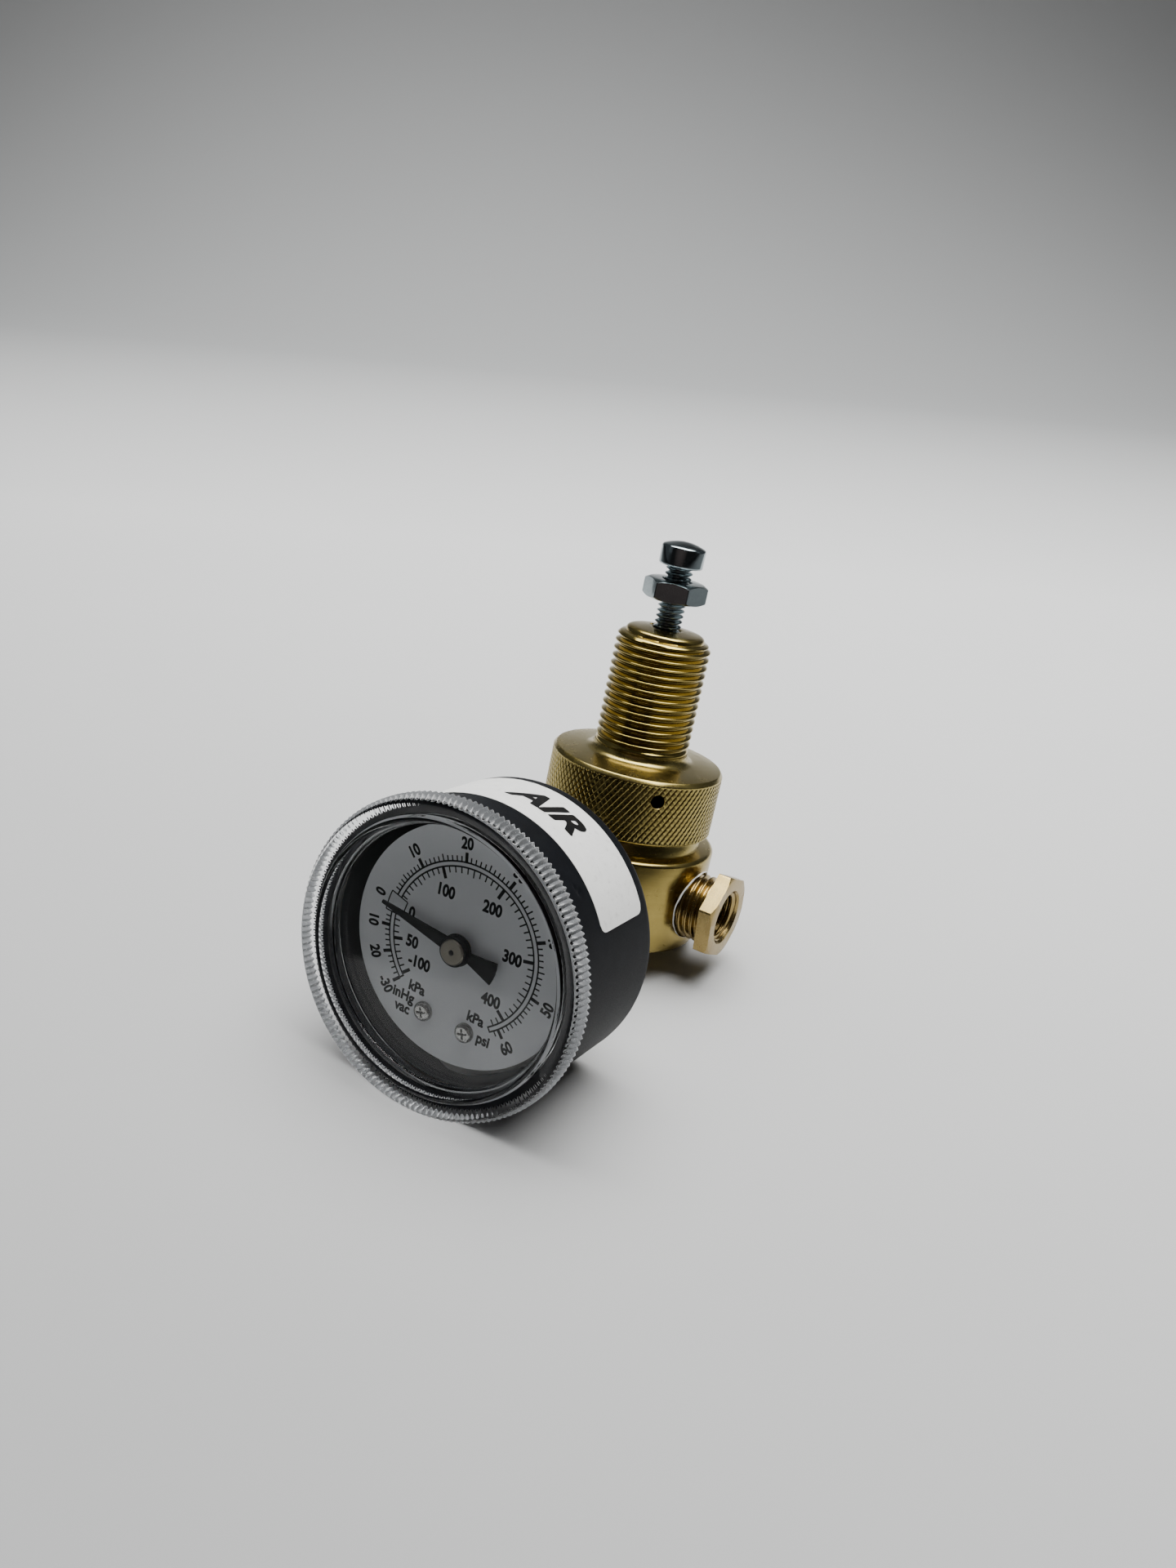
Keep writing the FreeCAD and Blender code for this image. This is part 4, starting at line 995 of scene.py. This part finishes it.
# ---------------------------------------------------------------- CAD nodes that show as they are
NODE_LOOKS = {
    "dial": dial_white, "pointer": pointer_black, "pointer_hub": hub_nickel, "dial_screws": plated,
    "case_screws": plated, "lens_gasket": rubber, "bottom_plug": inner_brass, "bottom_plug_o_ring": rubber,
    "diaphragm": fabric_rubber, "diaphragm_plate": inner_brass, "diaphragm_washer": inner_brass,
    "slip_ring": fibre, "range_spring": spring_steel, "upper_spring_button": stainless,
    "valve_seat": inner_brass, "valve_poppet": stainless, "poppet_seal": rubber,
    "valve_spring": spring_steel, "bourdon_tube": bronze, "tube_tip": movement_brass,
    "tip_link_pin": pivot_steel, "link": movement_brass, "sector_link_pin": pivot_steel,
    "sector_gear": movement_brass, "sector_arbor": pivot_steel, "pinion_arbor": pivot_steel,
    "hairspring": bronze, "movement_back_plate": movement_brass, "movement_front_plate": movement_brass,
    "movement_pillars": movement_brass, "movement_screws": plated, "dial_posts": movement_brass,
}
for name, surface in NODE_LOOKS.items():
    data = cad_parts[name].data
    data.materials.clear()
    data.materials.append(surface.mat)

# ---------------------------------------------------------------- stage
# The object leans on the lower edge of its gauge rim and the far edge of its body's foot.
floor_normal = np.array([0, -0.2334, 0.9724])
floor_point = np.array([0, -61.9, -56.9])
heading = np.array([-0.4727, 0.8569, 0.2058])
across = np.cross(heading, floor_normal)


def on_stage(ahead, right, height):
    """Metres from the object's footing: away from the viewer, to the right, and up off the floor."""
    return Vector(floor_point * MM + heading * ahead + across * right + floor_normal * height)


PAPER_FRONT, COVE_AT, COVE_R = -0.10, 0.62, 0.25
WALL_TILT = math.pi / 2 * 0.96
PAPER_COLUMNS, BENCH_COLUMNS = 21, 9
BENCH_HALF, BENCH_DROP = 4.0, 0.0006


def sweep():
    """Fan-shaped pale paper: floor, a gentle cove well behind the object, and a wall."""
    path = [(d, 0.0) for d in np.linspace(PAPER_FRONT, COVE_AT, 30)]
    for a in np.linspace(0, WALL_TILT, 40)[1:]:
        path.append((COVE_AT + COVE_R * math.sin(a), COVE_R * (1 - math.cos(a))))
    last = path[-1]
    for d in (0.1, 0.2, 0.3):
        path.append((last[0] + d * math.cos(WALL_TILT), last[1] + d * math.sin(WALL_TILT)))
    rows = []
    for d, h in path:
        left, right = -0.055 - 0.43 * (d + 0.09), 0.125 + 0.38 * (d + 0.09)
        rows.append([on_stage(d, x, h) for x in np.linspace(left, right, PAPER_COLUMNS)])
    return rows


rows = sweep()
floor = make_object("stage_sweep", [p for row in rows for p in row],
                    grid_faces(len(rows), PAPER_COLUMNS, False), 60)
paper = Surface("stage_paper", (0.50, 0.503, 0.503), roughness=0.75)
paper.tint(paper.remap(paper.noise(14, 4.0, 0.6), 0.35, 0.7, 0.0, 0.35), (0.47, 0.475, 0.48))
# Painted shade: the paper's colour darkens with distance, where the wall rises out of the light.
distance = paper.node("ShaderNodeVectorMath", operation="DOT_PRODUCT")
paper.link(paper.coords, distance.inputs[0])
distance.inputs[1].default_value = tuple(heading)
paper.tint(paper.remap(distance.outputs["Value"], 0.23, 0.52, 0.0, 1.0), (0.25, 0.255, 0.257))
paper.bump(paper.noise(240, 4.0, 0.6), 3e-5, 0.35)
floor.data.materials.append(paper.mat)

bench_steps = np.linspace(-BENCH_HALF, BENCH_HALF, BENCH_COLUMNS)
bench_rows = [[on_stage(d, x, -BENCH_DROP) for x in bench_steps] for d in bench_steps]
bench = make_object("stage_bench", [p for row in bench_rows for p in row],
                    grid_faces(BENCH_COLUMNS, BENCH_COLUMNS, False), 60)
bench_grey = Surface("bench_grey", (0.11, 0.112, 0.113), roughness=0.8)
bench_grey.tint(bench_grey.remap(bench_grey.noise(20, 4.0, 0.6), 0.35, 0.7, 0.0, 0.4),
                (0.085, 0.087, 0.089))
bench_grey.bump(bench_grey.noise(300, 4.0, 0.6), 4e-5, 0.4)
bench.data.materials.append(bench_grey.mat)


def area_light(name, where, aim, size, power, color=(1, 1, 1), spread=180.0):
    data = bpy.data.lights.new(name, "AREA")
    data.shape = "RECTANGLE"
    data.size, data.size_y = size
    data.energy = power
    data.color = color
    data.spread = math.radians(spread)
    obj = bpy.data.objects.new(name, data)
    obj.location = where
    obj.rotation_euler = (aim - where).to_track_quat("-Z", "Y").to_euler()
    bpy.context.scene.collection.objects.link(obj)
    return obj


aim = on_stage(0.0, 0.0, 0.03)
over, under = on_stage(0.33, 0.12, 0.80), on_stage(0.33, 0.12, 0.0)
area_light("overhead", over, under, (1.10, 0.62), 10.3, (1.0, 0.998, 0.99), 95.0)
area_light("left", on_stage(-0.15, -0.85, 0.45), aim, (0.35, 0.55), 0.05, (0.93, 0.97, 1.0))
area_light("right", on_stage(0.10, 0.85, 0.50), aim, (0.30, 0.40), 0.05, (0.96, 0.98, 1.0))


def studio_world():
    """Dim even surroundings, darker on the viewer's side but for a faint warm shape there."""
    world = bpy.data.worlds.new("studio")
    world.use_nodes = True
    tree = world.node_tree
    coords = tree.nodes.new("ShaderNodeTexCoord")
    color = None
    sides, front, shape = (0.085, 0.092, 0.098, 1), (0.022, 0.021, 0.021, 1), (0.125, 0.095, 0.09, 1)
    toward = Vector(-heading + 0.15 * floor_normal).normalized()
    warm_way = Vector((0.22, -0.96, 0.13))
    layers = ((toward, 0.10, 0.50, sides, front), (warm_way, 0.84, 0.99, None, shape))
    for way, low, high, under, over in layers:
        facing = tree.nodes.new("ShaderNodeVectorMath")
        facing.operation = "DOT_PRODUCT"
        facing.inputs[1].default_value = tuple(way)
        ramp = tree.nodes.new("ShaderNodeMapRange")
        ramp.inputs["From Min"].default_value, ramp.inputs["From Max"].default_value = low, high
        mix = tree.nodes.new("ShaderNodeMix")
        mix.data_type = "RGBA"
        if under:
            mix.inputs[6].default_value = under
        else:
            tree.links.new(color, mix.inputs[6])
        mix.inputs[7].default_value = over
        tree.links.new(coords.outputs["Generated"], facing.inputs[0])
        tree.links.new(facing.outputs["Value"], ramp.inputs["Value"])
        tree.links.new(ramp.outputs["Result"], mix.inputs[0])
        color = mix.outputs[2]
    tree.links.new(color, tree.nodes["Background"].inputs["Color"])
    return world


bpy.context.scene.world = studio_world()

# ---------------------------------------------------------------- camera
camera_data = bpy.data.cameras.new("camera")
camera_data.lens = 30.75
camera_data.sensor_width = 36.0
camera_data.clip_start, camera_data.clip_end = 0.01, 20.0
camera = bpy.data.objects.new("camera", camera_data)
right, up, back = (0.85691, 0.47682, 0.19583), (-0.30778, 0.16854, 0.93641), (0.41349, -0.86269, 0.29117)
pose = Matrix((right, up, back)).transposed().to_4x4()
pose.translation = Vector((105.19, -240.09, 69.29)) * MM
camera.matrix_world = pose
bpy.context.scene.collection.objects.link(camera)
bpy.context.scene.camera = camera
